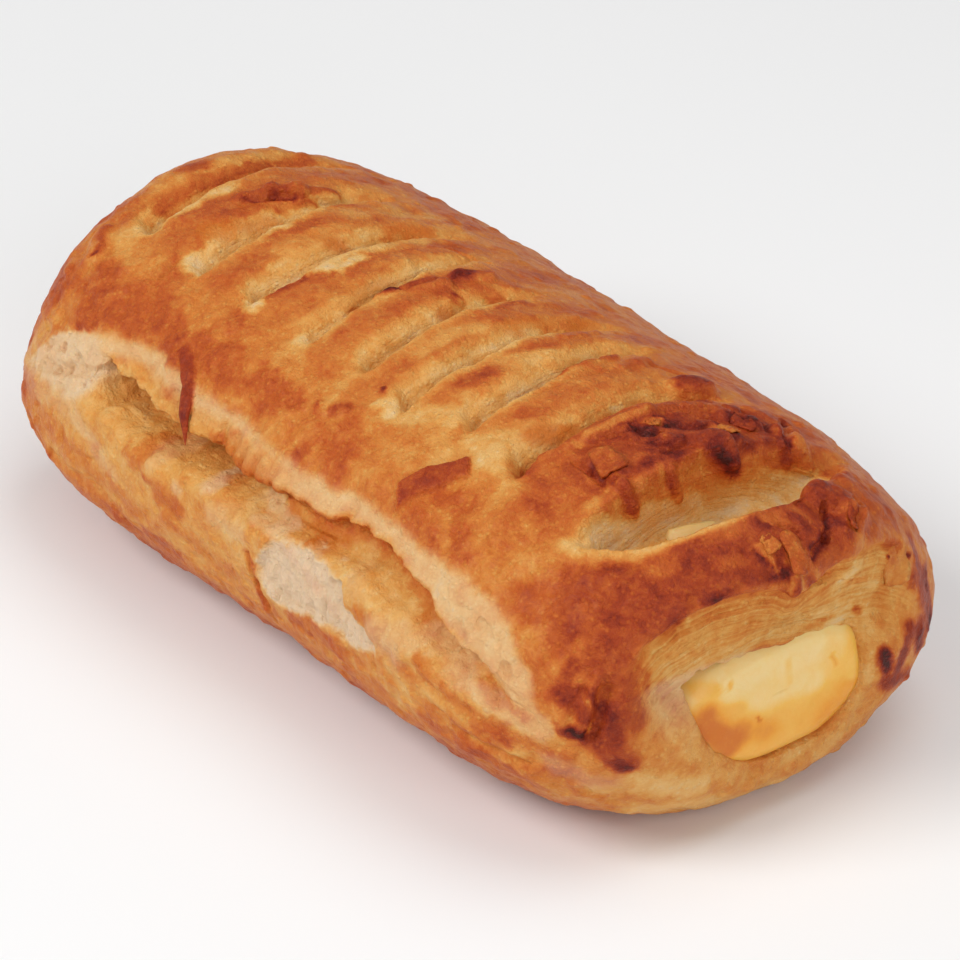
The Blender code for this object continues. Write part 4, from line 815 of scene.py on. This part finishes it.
def browning(points, outward, depth):
    x, y, z = points.T
    part, look = sides(outward), browningLook
    above = aboveSeam(points)
    lower = part["near"] * (1.0 - ease(-1.2, 0.2, above))
    warp = np.stack([roughNoise(points, 3.2, 61 + k, 3) for k in range(3)], axis=1)
    loose, tight = points + look["warp"] * warp, points + look["fineWarp"] * warp
    # grounds of the six sides
    bake = 0.0
    shares = {"top": 1.0, "near": lower, "back": part["back"], "far": part["far"], "under": part["under"]}
    for side, share in shares.items():
        tone, uneven, size, seed, octaves = look[side]
        bake = mix(bake, tone + uneven * roughNoise(points, size, seed, octaves), share)
    foot = ease(0.10, 0.40, outward[:, 0]) * ease(16.0, 9.0, z)
    bake = mix(bake, look["front"], np.maximum(part["front"], foot))
    # straps: pale in the slash and at its edge, brown further on, golden at the front
    place = strapPlace(x, y)
    crest = 0.10 * (ease(0.14, 0.34, place) - ease(0.45, 0.72, place)) - 0.05 * ease(0.6, 0.9, place)
    reach = ease(-23.0, -17.0, y) * (1.0 - ease(16.0, 28.0, y)) * ease(-56.0, -50.0, x)
    bake = bake + part["top"] * reach * crest
    _, _, slope = slashRelief(x, y)
    slope = part["top"] * slope
    bake = mix(bake, mix(*look["slash"], ease(5.0, 16.0, y)), slope)
    # cut faces: the wide slash and the two ends
    wall = part["top"] * mouthRelief(x, y) * ease(0.8, 2.6, depth)
    bake = mix(bake, mix(*look["wall"], ease(38.0, 44.0, z)), wall)
    _, face = endRelief(frontEnd, points)
    _, rear = endRelief(backEnd, points)
    face = face * ease(0.15, 0.35, outward[:, 0])
    rear = rear * ease(0.15, 0.35, -outward[:, 0])
    bake = mix(bake, mix(*look["arch"], ease(26.0, 36.0, z)), face)
    bake = mix(bake, mix(*look["rear"], ease(22.0, 32.0, z)), rear)
    # marks
    crown = ease(0.08, 0.3, outward[:, 2]) * (1.0 - wall) * (1.0 - face) * (1.0 - lower)
    bake = paint(bake, loose[:, :2], topMarks, crown)
    bake = mix(bake, paint(bake, loose[:, ::2], nearMarks, lower), look["nearContrast"])
    bake = paint(bake, tight[:, 1:], frontMarks, ease(0.15, 0.45, outward[:, 0]))
    opened = np.clip(ease(42.0, 44.0, x) * part["top"] + ease(64.0, 66.0, x), 0.0, 1.0)
    bake = paint(bake, tight, wallMarks, opened)
    bake = paint(bake, loose, cornerMarks, 1.0)
    # pale rim in front of the wide slash
    reach, t = mouthReach(y)
    broad = mix(2.2, 0.9, ease(-19.0, -8.0, y))
    rim = hill(x - mouth["back"] - reach - 0.3 * broad, broad)
    rim = rim * ease(1.0, 0.95, np.abs(t)) * ease(4.0, -8.0, y)
    bake = mix(bake, look["rim"], part["top"] * rim)
    # the cut edge of the sheet above the seam: pale above, golden where it hangs down, that golden partly
    # its own colour and partly painted shade under the lip
    ragged = 0.35 * roughNoise(points * (1.0, 0.0, 0.0), 4.0, 55, 4) + 0.35 * roughNoise(points, 1.8, 56, 3)
    band = part["near"] * ease(-57.0, -46.0, x) * (1.0 - ease(55.5, 59.5, x)) * ease(-1.2, -0.2, above)
    band = band * ease(-0.4, 1.3, alongLine(x, seam["bandTop"]) + ragged - z)
    pale = look["band"] + 0.10 * roughNoise(points * (1.0, 1.0, 0.5), 3.4, 60, 4)
    pale = pale + 0.07 * ease(44.0, 56.0, x)
    bake = mix(bake, np.maximum(pale, 0.03), band)
    drapeAndShade = band * ease(0.6, -0.8, z + ragged - alongLine(x, seam["bandLow"]))
    golden = mix(*look["drapeAndShade"], ease(-3.0, 7.0, x))
    bake = mix(bake, golden + 0.10 * roughNoise(points * (1.0, 0.3, 0.3), 2.4, 65, 3), drapeAndShade)
    # its closed whitish end, the torn patch and the glaze that ran over them
    closed = part["near"] * ease(-3.0, 1.5, x + 57.5 + 1.4 * np.clip(28.0 - z, 0.0, 5.0))
    closed = closed * ease(-38.0, -45.0, x) * hill(z - 29.6 - 0.1 * (x + 50.0), 7.5)
    closed = closed * ease(-0.9, 0.9, alongLine(x, seam["bandTop"]) + ragged - z)
    closed = ease(0.15, 0.6, closed)
    bake = mix(bake, look["closed"] + 0.12 * roughNoise(points, 2.4, 58, 3), closed)
    wander = 0.6 * roughNoise(points, 2.2, 57, 3)
    torn = part["near"] * ease(-0.5, 0.5, insideOutline(x, z + wander, patch["outline"]))
    bake = mix(bake, look["torn"] + 0.06 * roughNoise(points, (0.8, 0.8, 3.6), 59, 2), torn)
    bake = paint(bake, tight[:, ::2], patch["pits"], torn)
    glaze = np.zeros(len(points))
    glazed = [(flapShare(points), flap["browning"])]
    glazed += [(dripShare(points, drip), drip[5]) for drip in drips]
    for share, value in glazed:
        bake = mix(bake, value, share)
        glaze = np.maximum(glaze, share)
    amber = 0.5 * wall * ease(38.0, 41.0, z) * ease(-13.0, -8.0, y)
    amber = paint(amber, tight[:, :2], amberMarks, part["top"] * (1.0 - wall))
    amber = paint(amber, loose[:, ::2], nearAmberMarks, part["near"] * (1.0 - closed) * (1.0 - torn))
    amber = amber * ease(0.78, 0.60, bake)
    white = 0.6 * paint(np.zeros(len(points)), loose[:, ::2], whiteMarks, part["near"])
    cut = np.maximum.reduce([0.7 * slope, wall, face, rear, 0.5 * band])
    pith = 0.5 * face * ease(1.7, 1.15, holeGauge(frontEnd, y, z)) * ease(2.0, -6.0, y)
    bandCrumb = 0.4 * band - 0.3 * drapeAndShade * ease(7.0, -3.0, x)
    crumb = np.maximum.reduce([torn, bandCrumb, 0.7 * closed, white, pith]) * (1.0 - glaze)
    return {
        "bake": np.clip(bake, 0.0, 1.0), "amber": amber, "cut": np.clip(cut, 0.0, 1.0),
        "crumb": np.clip(crumb, 0.0, 1.0), "layer": layerHeight(points, outward, depth),
    }


def layerHeight(points, outward, depth):
    # distance through the stack of baked sheets, in millimetres
    arch = alongLine(points[:, 1], frontEnd["arch"])
    return mix(depth, arch - points[:, 2], ease(0.3, 0.6, np.abs(outward[:, 0])))


def roughen(points, normals):
    # lumps all over, ledges of layers on cut faces, wrinkles on burnt skin, shaggy crumb
    outward, depth = bodyFrame(points)
    masks = browning(points, outward, depth)
    sheets = np.stack([0.12 * points[:, 0], 0.12 * points[:, 1], masks["layer"]], axis=1)
    burnt = ease(0.74, 0.92, masks["bake"])
    lift = crust["lump"] * roughNoise(points, 7.0, 41, 3)
    lift += crust["crumple"] * roughNoise(points, 2.2, 42, 2) * (1.0 - 0.5 * masks["cut"])
    lift += crust["layer"] * masks["cut"] * roughNoise(sheets, 1.3, 43, 2)
    lift += crust["shag"] * masks["crumb"] * roughNoise(points, 1.3, 44, 2)
    lift += crust["wrinkle"] * burnt * (0.35 - np.abs(lattice(points, (1.6, 3.4, 2.4), 45)))
    top = ease(0.2, 0.5, outward[:, 2]) * (depth < 3.5)
    lift += top * raised(points[:, :2] + 0.25 * lattice(points, 2.0, 46)[:, None], topSwellings)
    lift -= top * raised(points[:, :2] + 0.35 * lattice(points, 1.7, 47)[:, None], topCreases)
    lift += raised(points, wallSwellings)
    near = ease(0.2, 0.5, -outward[:, 1])
    flat = points[:, ::2] + 0.3 * lattice(points, 2.0, 50)[:, None]
    lift += near * (raised(flat, nearSwellings) - raised(flat, nearCreases))
    torn = near * ease(-0.2, 0.6, insideOutline(points[:, 0], points[:, 2], patch["outline"]))
    lift += patch["fibre"] * torn * roughNoise(points, (0.9, 0.9, 3.6), 60, 2)
    lift += flap["height"] * flapShare(points)
    for drip in drips:
        lift += drip[4] * dripShare(points, drip)
    # pores of the crumb: many in the closed end of the seam and on the torn patch, few on the near side
    loose = 0.25 * ease(0.2, 0.6, -outward[:, 1]) * (1.0 - ease(0.55, 0.75, masks["bake"]))
    pores = np.maximum(masks["crumb"], loose)
    pores = pores * (1.0 - 0.7 * torn)
    lift -= crust["pore"] * pores * ease(0.25, 0.7, lattice(points, (1.9, 1.9, 1.5), 48))
    lift -= 0.5 * crust["pore"] * pores * ease(0.2, 0.6, lattice(points, 1.1, 47))
    lift += crust["blister"] * (1.0 - masks["cut"]) * ease(0.5, 0.85, lattice(points, 2.4, 49))
    return points + normals * lift[:, None]


def buildCrust():
    piece = buildCrustShape()
    applyModifier(piece, "REMESH", mode="VOXEL", voxel_size=crust["voxel"] * mm)
    print("crust remeshed:", len(piece.data.polygons), "faces")
    points = roughen(readPoints(piece), readNormals(piece))
    points[:, 2] = np.maximum(points[:, 2], 0.0)
    writePoints(piece, points)
    ratio = crust["faces"] / (2.0 * len(piece.data.polygons))
    if ratio < 1.0:
        applyModifier(piece, "DECIMATE", ratio=ratio)
    points = readPoints(piece)
    for name, values in browning(points, *bodyFrame(points)).items():
        writeMask(piece, name, values)
    print("crust finished:", len(piece.data.polygons), "faces")
    return piece


maskNames = ("bake", "amber", "cut", "crumb", "layer")


def writePlainMasks(piece, bake):
    for name in maskNames:
        writeMask(piece, name, bake if name == "bake" else 0.0 * bake)


def buildDrop():
    # burnt glaze hanging from the edge of the sheet, a flattened tapering thread
    look = hangingDrop
    stops = np.linspace(0.0, 1.0, len(look["path"]))
    t = np.linspace(0.0, 1.0, look["rings"])
    spine = np.stack([np.interp(t, stops, [p[k] for p in look["path"]]) for k in range(3)], axis=1)
    radius = np.interp(t, stops, look["radius"])[:, None, None]
    turn = np.arange(look["sides"]) / look["sides"] * 2.0 * pi
    ring = np.stack([np.cos(turn), -look["flat"] * np.sin(turn), 0.0 * turn], axis=1)
    points = (spine[:, None, :] + radius * ring[None, :, :]).reshape(-1, 3)
    around, last = look["sides"], (look["rings"] - 1) * look["sides"]
    faces = [tuple(range(around))[::-1], tuple(last + j for j in range(around))]
    for i, j in product(range(look["rings"] - 1), range(around)):
        a, b = i * around + j, i * around + (j + 1) % around
        faces.append((a, b, b + around, a + around))
    piece = newPiece("glazeDrop", points, faces)
    writePlainMasks(piece, look["browning"] + 0.04 * roughNoise(points, 1.5, 84, 2))
    return piece


# loose flakes of crust: centre line from a to b, width at each end, lift at each end, browning
flakes = [
    ((65.8, 1.4, 42.6), (69.5, 1.2, 37.8), 2.6, 3.0, 0.3, 1.0, 0.58),
    ((65.2, -2.0, 42.8), (67.2, -1.4, 41.0), 1.8, 2.2, 0.1, 0.6, 0.52),
    ((44.0, 8.2, 46.0), (46.8, 9.0, 45.2), 1.2, 2.2, 0.3, 0.6, 0.46),
    ((38.4, 0.2, 47.0), (40.0, 1.2, 47.0), 1.4, 1.8, 0.2, 0.6, 0.52),
    ((39.6, -9.2, 46.4), (45.0, -10.6, 45.6), 2.6, 4.4, 0.1, 0.6, 0.63),
    ((65.0, 22.0, 32.0), (66.2, 21.6, 26.4), 4.6, 4.2, 0.1, 0.5, 0.42),
    ((42.4, 12.0, 45.4), (45.4, 13.6, 44.2), 1.6, 2.4, 0.3, 0.6, 0.80),
    ((63.6, 14.8, 41.0), (66.6, 12.4, 38.6), 2.0, 3.0, 0.2, 0.7, 0.74),
]
flakeLook = {
    "rows": 16, "columns": 8, "thickness": 0.3, "ragged": 0.28, "square": 6.0, "sunk": 0.25, "curl": 0.18,
}


def buildFlakes(crustPiece):
    tree = BVHTree.FromObject(crustPiece, bpy.context.evaluated_depsgraph_get())
    rows, columns = flakeLook["rows"], flakeLook["columns"]
    t, w = np.meshgrid(np.linspace(0, 1, rows), np.linspace(-0.5, 0.5, columns), indexing="ij")
    t, w = t.ravel(), w.ravel()
    points, faces, bakes = [], [], []
    for k, (a, b, startWidth, endWidth, startLift, endLift, bake) in enumerate(flakes):
        a, b = np.array(a), np.array(b)
        _, up, _, _ = tree.find_nearest(Vector((a + b) / 2.0 * mm))
        side = np.cross(np.array(up), (b - a) / np.linalg.norm(b - a))
        side /= np.linalg.norm(side)
        seeds = np.stack([9.0 * k + 4.0 * t, np.sign(w), 0.0 * t], axis=1)
        width = mix(startWidth, endWidth, t) * (1.0 + flakeLook["ragged"] * lattice(seeds, 1.0, 81))
        width = width * (0.35 + 0.65 * roundOff(2.0 * t - 1.0, flakeLook["square"]))
        spots = a + t[:, None] * (b - a) + (w * width)[:, None] * side
        curl = lattice(seeds * (1.0, 0.0, 0.0) + w[:, None], 0.4, 82)
        lift = mix(startLift, endLift, t ** 1.5) - flakeLook["sunk"] + flakeLook["curl"] * curl
        for spot, rise in zip(spots, lift):
            place, normal, _, _ = tree.find_nearest(Vector(spot * mm))
            points.append(np.array(place) / mm + rise * (0.6 * np.array(normal) + 0.4 * np.array(up)))
        start = k * rows * columns
        for i, j in product(range(rows - 1), range(columns - 1)):
            corner = start + i * columns + j
            faces.append((corner, corner + 1, corner + columns + 1, corner + columns))
        bakes += [bake] * (rows * columns)
    piece = newPiece("crustFlakes", np.array(points), faces)
    writePlainMasks(piece, np.array(bakes) + 0.05 * roughNoise(np.array(points), 1.5, 83, 2))
    applyModifier(piece, "SOLIDIFY", thickness=flakeLook["thickness"] * mm, offset=0.0)
    print("flakes:", len(flakes))
    return piece


filling = {"cells": 44, "step": 0.75, "lump": 0.22}
fillingMarks = [
    # y and z on the open end
    (-8, 23.4, 6, 22.6, 2.6, 0.03), (-4, 19.5, 6, 18.6, 2.2, 0.10), (-11, 15.5, -4, 13.5, 3.4, 0.74),
    (-12, 20.5, -7.4, 19.0, 1.6, 0.50), (-13.0, 18.4, -9.0, 14.4, 3.2, 1.0), (-7, 11.6, 5, 10.4, 2.4, 0.50),
    (7.5, 12.0, 12.0, 15.0, 2.8, 0.68), (12.4, 17, 13.2, 22.4, 1.3, 0.36),
    (-13.4, 22.6, -11, 22.8, 1.4, 0.40), (-8.5, 22.9, -8.4, 22.6, 0.5, 0.5),
    (9.3, 20.8, 9.7, 19.2, 0.4, 0.6), (-4.3, 16.6, -4.1, 16.2, 0.5, 1.0), (1.6, 22.4, 1.8, 19.6, 0.6, 0.24),
]


def buildFilling():
    points, faces = bodyGrid(fillingLoaf, filling["cells"], filling["step"])
    x, y, z = points.T
    form = fillingLoaf
    height = z - form["bottom"]
    fall = form["droop"] * ease(form["droopFrom"], form["droopTo"], np.abs(x))
    wedge = form["wedge"]
    swell = ease(*wedge["x"], x) * (1.0 - ease(*wedge["end"], x))
    start, full, stop = wedge["y"]
    along = np.clip((y - full) / (stop - full), 0.0, 1.0)
    swell = swell * ease(start, full, y) * (1.0 - wedge["fall"] * along) * (1.0 - ease(stop, stop + 3.0, y))
    z = form["bottom"] + height * (1.0 - fall) + wedge["rise"] * swell * ease(form["waist"], form["top"], z)
    lean = form["lean"] * height * ease(form["leanFrom"], form["leanTo"], np.abs(x))
    x = x - np.sign(x) * lean
    points = np.stack([x, y, z], axis=1)
    points[:, 0] += filling["lump"] * roughNoise(points, 5.0, 71, 2)
    piece = newPiece("creamLog", points, faces)
    low = points[:, 2] - 0.12 * points[:, 1]
    tone = 0.10 + 0.42 * ease(24.0, 12.0, low)
    for share, value in cover(points[:, 1:] + 0.5 * lattice(points, 3.0, 73)[:, None], fillingMarks):
        tone = mix(tone, value, share ** 1.5 * ease(58.0, 62.0, points[:, 0]))
    writeMask(piece, "tone", tone)
    return piece


crustPiece = buildCrust()
flakesPiece = buildFlakes(crustPiece)
dropPiece = buildDrop()
fillingPiece = buildFilling()


def feed(tree, node, inputs):
    # links the sockets and sets the plain values that inputs gives, by name or number
    for key, value in inputs.items():
        if isinstance(value, bpy.types.NodeSocket):
            tree.links.new(value, node.inputs[key])
        else:
            node.inputs[key].default_value = value


def addNode(tree, kind, place, inputs, **settings):
    node = tree.nodes.new("ShaderNode" + kind)
    node.location = place
    for key, value in settings.items():
        setattr(node, key, value)
    feed(tree, node, inputs)
    return node


def addMath(tree, operation, place, *terms):
    return addNode(tree, "Math", place, dict(enumerate(terms)), operation=operation).outputs[0]


def addLevel(tree, value, place, start, stop, low=-1.0, high=1.0):
    # spreads a value between start and stop over a new range
    inputs = {"Value": value, "From Min": start, "From Max": stop, "To Min": low, "To Max": high}
    return addNode(tree, "MapRange", place, inputs).outputs["Result"]


def linear(code):
    # hexadecimal screen colour as linear values
    levels = [int(code[i:i + 2], 16) / 255.0 for i in (0, 2, 4)]
    return tuple(v / 12.92 if v <= 0.04045 else ((v + 0.055) / 1.055) ** 2.4 for v in levels) + (1.0,)


def addRamp(tree, value, place, stops):
    node = addNode(tree, "ValToRGB", place, {"Fac": value})
    elements = node.color_ramp.elements
    while len(elements) < len(stops):
        elements.new(0.5)
    for element, (position, code) in zip(elements, stops):
        element.position = position
        element.color = linear(code)
    return node.outputs["Color"]


def addTint(tree, colour, mask, place, code, most):
    # mixes a tint over a colour, by a mask
    share = addMath(tree, "MULTIPLY", (place[0], place[1] + 180), mask, most)
    inputs = {"Factor": share, "A": colour, "B": linear(code)}
    return addNode(tree, "Mix", place, inputs, data_type="RGBA").outputs["Result"]


def newGroup(name, inputs, outputs):
    # a node group of plain numbers: its inputs with their first values, and its outputs
    group = bpy.data.node_groups.new(name, "ShaderNodeTree")
    for title, value in inputs.items():
        socket = group.interface.new_socket(title, in_out="INPUT", socket_type="NodeSocketFloat")
        socket.default_value = value
    for title in outputs:
        group.interface.new_socket(title, in_out="OUTPUT", socket_type="NodeSocketFloat")
    start = group.nodes.new("NodeGroupInput")
    end = group.nodes.new("NodeGroupOutput")
    start.location = (-900, 0)
    end.location = (900, 0)
    return group, start, end


mottle = {
    # scale and detail of the noises that make the skin uneven
    "noises": {"Patches": (230.0, 5.0), "Freckles": (800.0, 3.0), "Grain": (3200.0, 3.0)},
    "roughness": 0.62, "distortion": 0.9, "flecks": 900.0, "veins": 330.0,
}


def makeMottleGroup():
    # uneven browning: patches, freckles, grain, pale flecks of blistered skin and thin pale veins
    group, start, end = newGroup(
        "Mottle",
        {"Browning": 0.5, "Patches": 0.1, "Freckles": 0.08, "Grain": 0.05, "Flecks": 0.0, "Veins": 0.0},
        ("Browning", "Height"),
    )
    place = addNode(group, "TexCoord", (-900, -300), {}).outputs["Object"]
    total, height = start.outputs["Browning"], 0.0
    for k, (name, (scale, detail)) in enumerate(mottle["noises"].items()):
        noise = addNode(group, "TexNoise", (-600, -250 * k), {
            "Vector": place, "Scale": scale, "Detail": detail,
            "Roughness": mottle["roughness"], "Distortion": mottle["distortion"],
        }).outputs["Fac"]
        spread = addLevel(group, noise, (-380, -250 * k), 0.3, 0.7)
        total = addMath(group, "MULTIPLY_ADD", (-160, -250 * k), spread, start.outputs[name], total)
        height = addMath(group, "ADD", (60, -250 * k), height, noise)
    # flecks are the middles of cells, veins the ridges of a noise
    cells = addNode(group, "TexVoronoi", (-600, -800), {"Vector": place, "Scale": mottle["flecks"]})
    fleck = addLevel(group, cells.outputs["Distance"], (-380, -800), 0.12, 0.34, -1.0, 0.0)
    ridges = addNode(
        group, "TexNoise", (-600, -1050),
        {"Vector": place, "Scale": mottle["veins"], "Detail": 3.0, "Distortion": 0.6},
        noise_type="RIDGED_MULTIFRACTAL", normalize=False,
    )
    vein = addLevel(group, ridges.outputs["Fac"], (-380, -1050), 0.9, 2.2, 0.4, -1.0)
    for name, value, down in (("Flecks", fleck, -800), ("Veins", vein, -1050)):
        total = addMath(group, "MULTIPLY_ADD", (-160, down), value, start.outputs[name], total)
        height = addMath(group, "MULTIPLY_ADD", (60, down), value, -0.5, height)
    feed(group, end, {"Browning": total, "Height": height})
    return group


def makeLayerGroup():
    # thin baked sheets seen edge on, as lines along the layer mask
    group, start, end = newGroup(
        "Pastry Layers", {"Layer": 0.0, "Lines": 1.4, "Waviness": 60.0}, ("Line", "Height"),
    )
    place = addNode(group, "TexCoord", (-900, -300), {}).outputs["Object"]
    spread = addNode(
        group, "VectorMath", (-680, -300),
        {0: place, "Scale": start.outputs["Waviness"]}, operation="SCALE",
    )
    stack = addMath(group, "MULTIPLY", (-680, -100), start.outputs["Layer"], start.outputs["Lines"])
    joined = addNode(group, "CombineXYZ", (-480, -100), {"Z": stack})
    added = addNode(
        group, "VectorMath", (-280, -200),
        {0: joined.outputs[0], 1: spread.outputs[0]}, operation="ADD",
    )
    noise = addNode(
        group, "TexNoise", (-60, -200), {"Vector": added.outputs[0], "Scale": 1.0, "Detail": 3.0},
    )
    line = addLevel(group, noise.outputs["Fac"], (200, -100), 0.35, 0.65)
    feed(group, end, {"Line": line, "Height": noise.outputs["Fac"]})
    return group


def newMaterial(name):
    material = bpy.data.materials.new(name)
    material.use_nodes = True
    tree = material.node_tree
    return material, tree, tree.nodes["Principled BSDF"]


def readMask(tree, name, place):
    return addNode(tree, "Attribute", place, {}, attribute_name=name).outputs["Fac"]


mottleGroup = makeMottleGroup()
layerGroup = makeLayerGroup()

crustFinish = {
    "colours": [
        (0.00, "E6C28E"), (0.15, "E8B66E"), (0.30, "E09E4E"), (0.45, "D47E32"),
        (0.60, "C25C1E"), (0.75, "A43C12"), (0.88, "7A1E0A"), (1.00, "420E06"),
    ],
    "mottle": {"Patches": 0.09, "Freckles": 0.06, "Grain": 0.015, "Flecks": 0.08, "Veins": 0.06},
    "layers": {"Lines": 2.0, "Waviness": 80.0},
    "layerTint": 0.08, "amber": ("C8640C", 0.8), "crumb": ("E4C8AA", 0.75),
    # on the skin and on a cut face
    "roughness": (0.42, 0.75), "coat": (0.05, 0.0),
    "bump": {"Strength": 0.75, "Distance": 0.0004}, "layerBump": 0.0004,
    "shader": {
        "Coat Roughness": 0.3, "Specular IOR Level": 0.20, "Subsurface Weight": 0.12,
        "Subsurface Scale": 0.0012, "Subsurface Radius": (1.0, 0.5, 0.2),
    },
}


def makeCrustMaterial():
    look = crustFinish
    material, tree, shader = newMaterial("bakedCrust")
    bake, amber, cut, crumb, layer = (
        readMask(tree, name, (-1500, 400 - 200 * k)) for k, name in enumerate(maskNames)
    )
    skin = addNode(
        tree, "Group", (-1200, 200), {"Browning": bake, **look["mottle"]}, node_tree=mottleGroup,
    ).outputs
    lines = addNode(
        tree, "Group", (-1200, -200), {"Layer": layer, **look["layers"]}, node_tree=layerGroup,
    ).outputs
    amount = addMath(tree, "MULTIPLY", (-1000, -100), cut, look["layerTint"])
    toned = addMath(tree, "MULTIPLY_ADD", (-800, 0), lines["Line"], amount, skin["Browning"])
    colour = addRamp(tree, toned, (-700, 100), look["colours"])
    colour = addTint(tree, colour, amber, (-450, 200), *look["amber"])
    colour = addTint(tree, colour, crumb, (-250, 200), *look["crumb"])
    bump = addNode(tree, "Bump", (-300, -300), {"Height": skin["Height"], **look["bump"]})
    edges = addNode(tree, "Bump", (-100, -300), {
        "Height": lines["Height"], "Strength": cut, "Distance": look["layerBump"],
        "Normal": bump.outputs["Normal"],
    })
    feed(tree, shader, {
        "Base Color": colour, "Normal": edges.outputs["Normal"],
        "Roughness": addLevel(tree, cut, (-600, -200), 0.0, 1.0, *look["roughness"]),
        "Coat Weight": addLevel(tree, cut, (-600, -500), 0.0, 1.0, *look["coat"]),
        **look["shader"],
    })
    return material


creamFinish = {
    "colours": [(0.0, "F0D08C"), (0.35, "F0BA52"), (0.7, "E89A24"), (1.0, "D07008")],
    "mottle": {"Patches": 0.06, "Freckles": 0.03, "Grain": 0.01},
    "bump": {"Strength": 0.2, "Distance": 0.0002},
    "shader": {"Roughness": 0.38, "Subsurface Weight": 0.25, "Subsurface Scale": 0.002},
}


def makeCreamMaterial():
    look = creamFinish
    material, tree, shader = newMaterial("creamCheese")
    tone = readMask(tree, "tone", (-1200, 100))
    skin = addNode(
        tree, "Group", (-900, 100), {"Browning": tone, **look["mottle"]}, node_tree=mottleGroup,
    ).outputs
    colour = addRamp(tree, skin["Browning"], (-600, 100), look["colours"])
    bump = addNode(tree, "Bump", (-300, -300), {"Height": skin["Height"], **look["bump"]})
    feed(tree, shader, {"Base Color": colour, "Normal": bump.outputs["Normal"], **look["shader"]})
    return material


crustMaterial = makeCrustMaterial()
crustPiece.data.materials.append(crustMaterial)
flakesPiece.data.materials.append(crustMaterial)
dropPiece.data.materials.append(crustMaterial)
fillingPiece.data.materials.append(makeCreamMaterial())
for piece, node, finish in (
    (crustPiece, "dough", "baked_dough"), (flakesPiece, "dough", "baked_dough"),
    (dropPiece, "dough", "baked_dough"), (fillingPiece, "filling", "cream_cheese"),
):
    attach(piece, "root")
    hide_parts(node)
print("materials made")


def addFloor():
    corners = 900.0 * np.array([(-1, -1, 0), (1, -1, 0), (1, 1, 0), (-1, 1, 0)])
    piece = newPiece("floor", corners, [(0, 1, 2, 3)])
    material, tree, shader = newMaterial("paper")
    feed(tree, shader, {"Base Color": (0.9, 0.9, 0.9, 1.0), "Roughness": 0.9})
    piece.data.materials.append(material)


lights = {
    # place and size in metres, power in watts
    "key": ((-0.25, -0.75, 0.75), 0.55, 6.4),
    "fill": ((0.85, -0.25, 0.45), 0.7, 3.1),
    "top": ((0.1, 0.3, 0.9), 0.8, 2.9),
}


def addLight(name, place, size, power):
    lamp = bpy.data.lights.new(name, "AREA")
    lamp.shape = "DISK"
    lamp.size = size
    lamp.energy = power
    light = bpy.data.objects.new(name, lamp)
    light.location = place
    light.rotation_mode = "QUATERNION"
    light.rotation_quaternion = (Vector(place) - Vector((0.0, 0.0, 0.02))).to_track_quat("Z", "Y")
    bpy.context.scene.collection.objects.link(light)


camera = {
    # angles in degrees, distances and lens in millimetres
    "azimuth": 52.33, "elevation": 31.13, "distance": 750.0, "lens": 197.91,
    "height": 20.0, "right": 1.23, "up": -0.516,
}


def addCamera():
    turn, tilt = radians(camera["azimuth"]), radians(camera["elevation"])
    back = Vector((sin(turn) * cos(tilt), -cos(turn) * cos(tilt), sin(tilt)))
    right = Vector((cos(turn), sin(turn), 0.0))
    target = Vector((0.0, 0.0, camera["height"]))
    target = target + right * camera["right"] + back.cross(right) * camera["up"]
    data = bpy.data.cameras.new("camera")
    data.lens = camera["lens"]
    data.sensor_width = 36.0
    data.clip_start, data.clip_end = 0.05, 20.0
    view = bpy.data.objects.new("camera", data)
    view.location = (target + back * camera["distance"]) * mm
    view.rotation_mode = "QUATERNION"
    view.rotation_quaternion = back.to_track_quat("Z", "Y")
    bpy.context.scene.collection.objects.link(view)
    bpy.context.scene.camera = view


addFloor()
for name, (place, size, power) in lights.items():
    addLight(name, place, size, power)
addCamera()
world = bpy.data.worlds.new("studio")
world.use_nodes = True
world.node_tree.nodes["Background"].inputs["Color"].default_value = (1.0, 1.0, 1.0, 1.0)
world.node_tree.nodes["Background"].inputs["Strength"].default_value = 0.3
bpy.context.scene.world = world
bpy.context.scene.view_settings.view_transform = "Standard"
print("stage set")
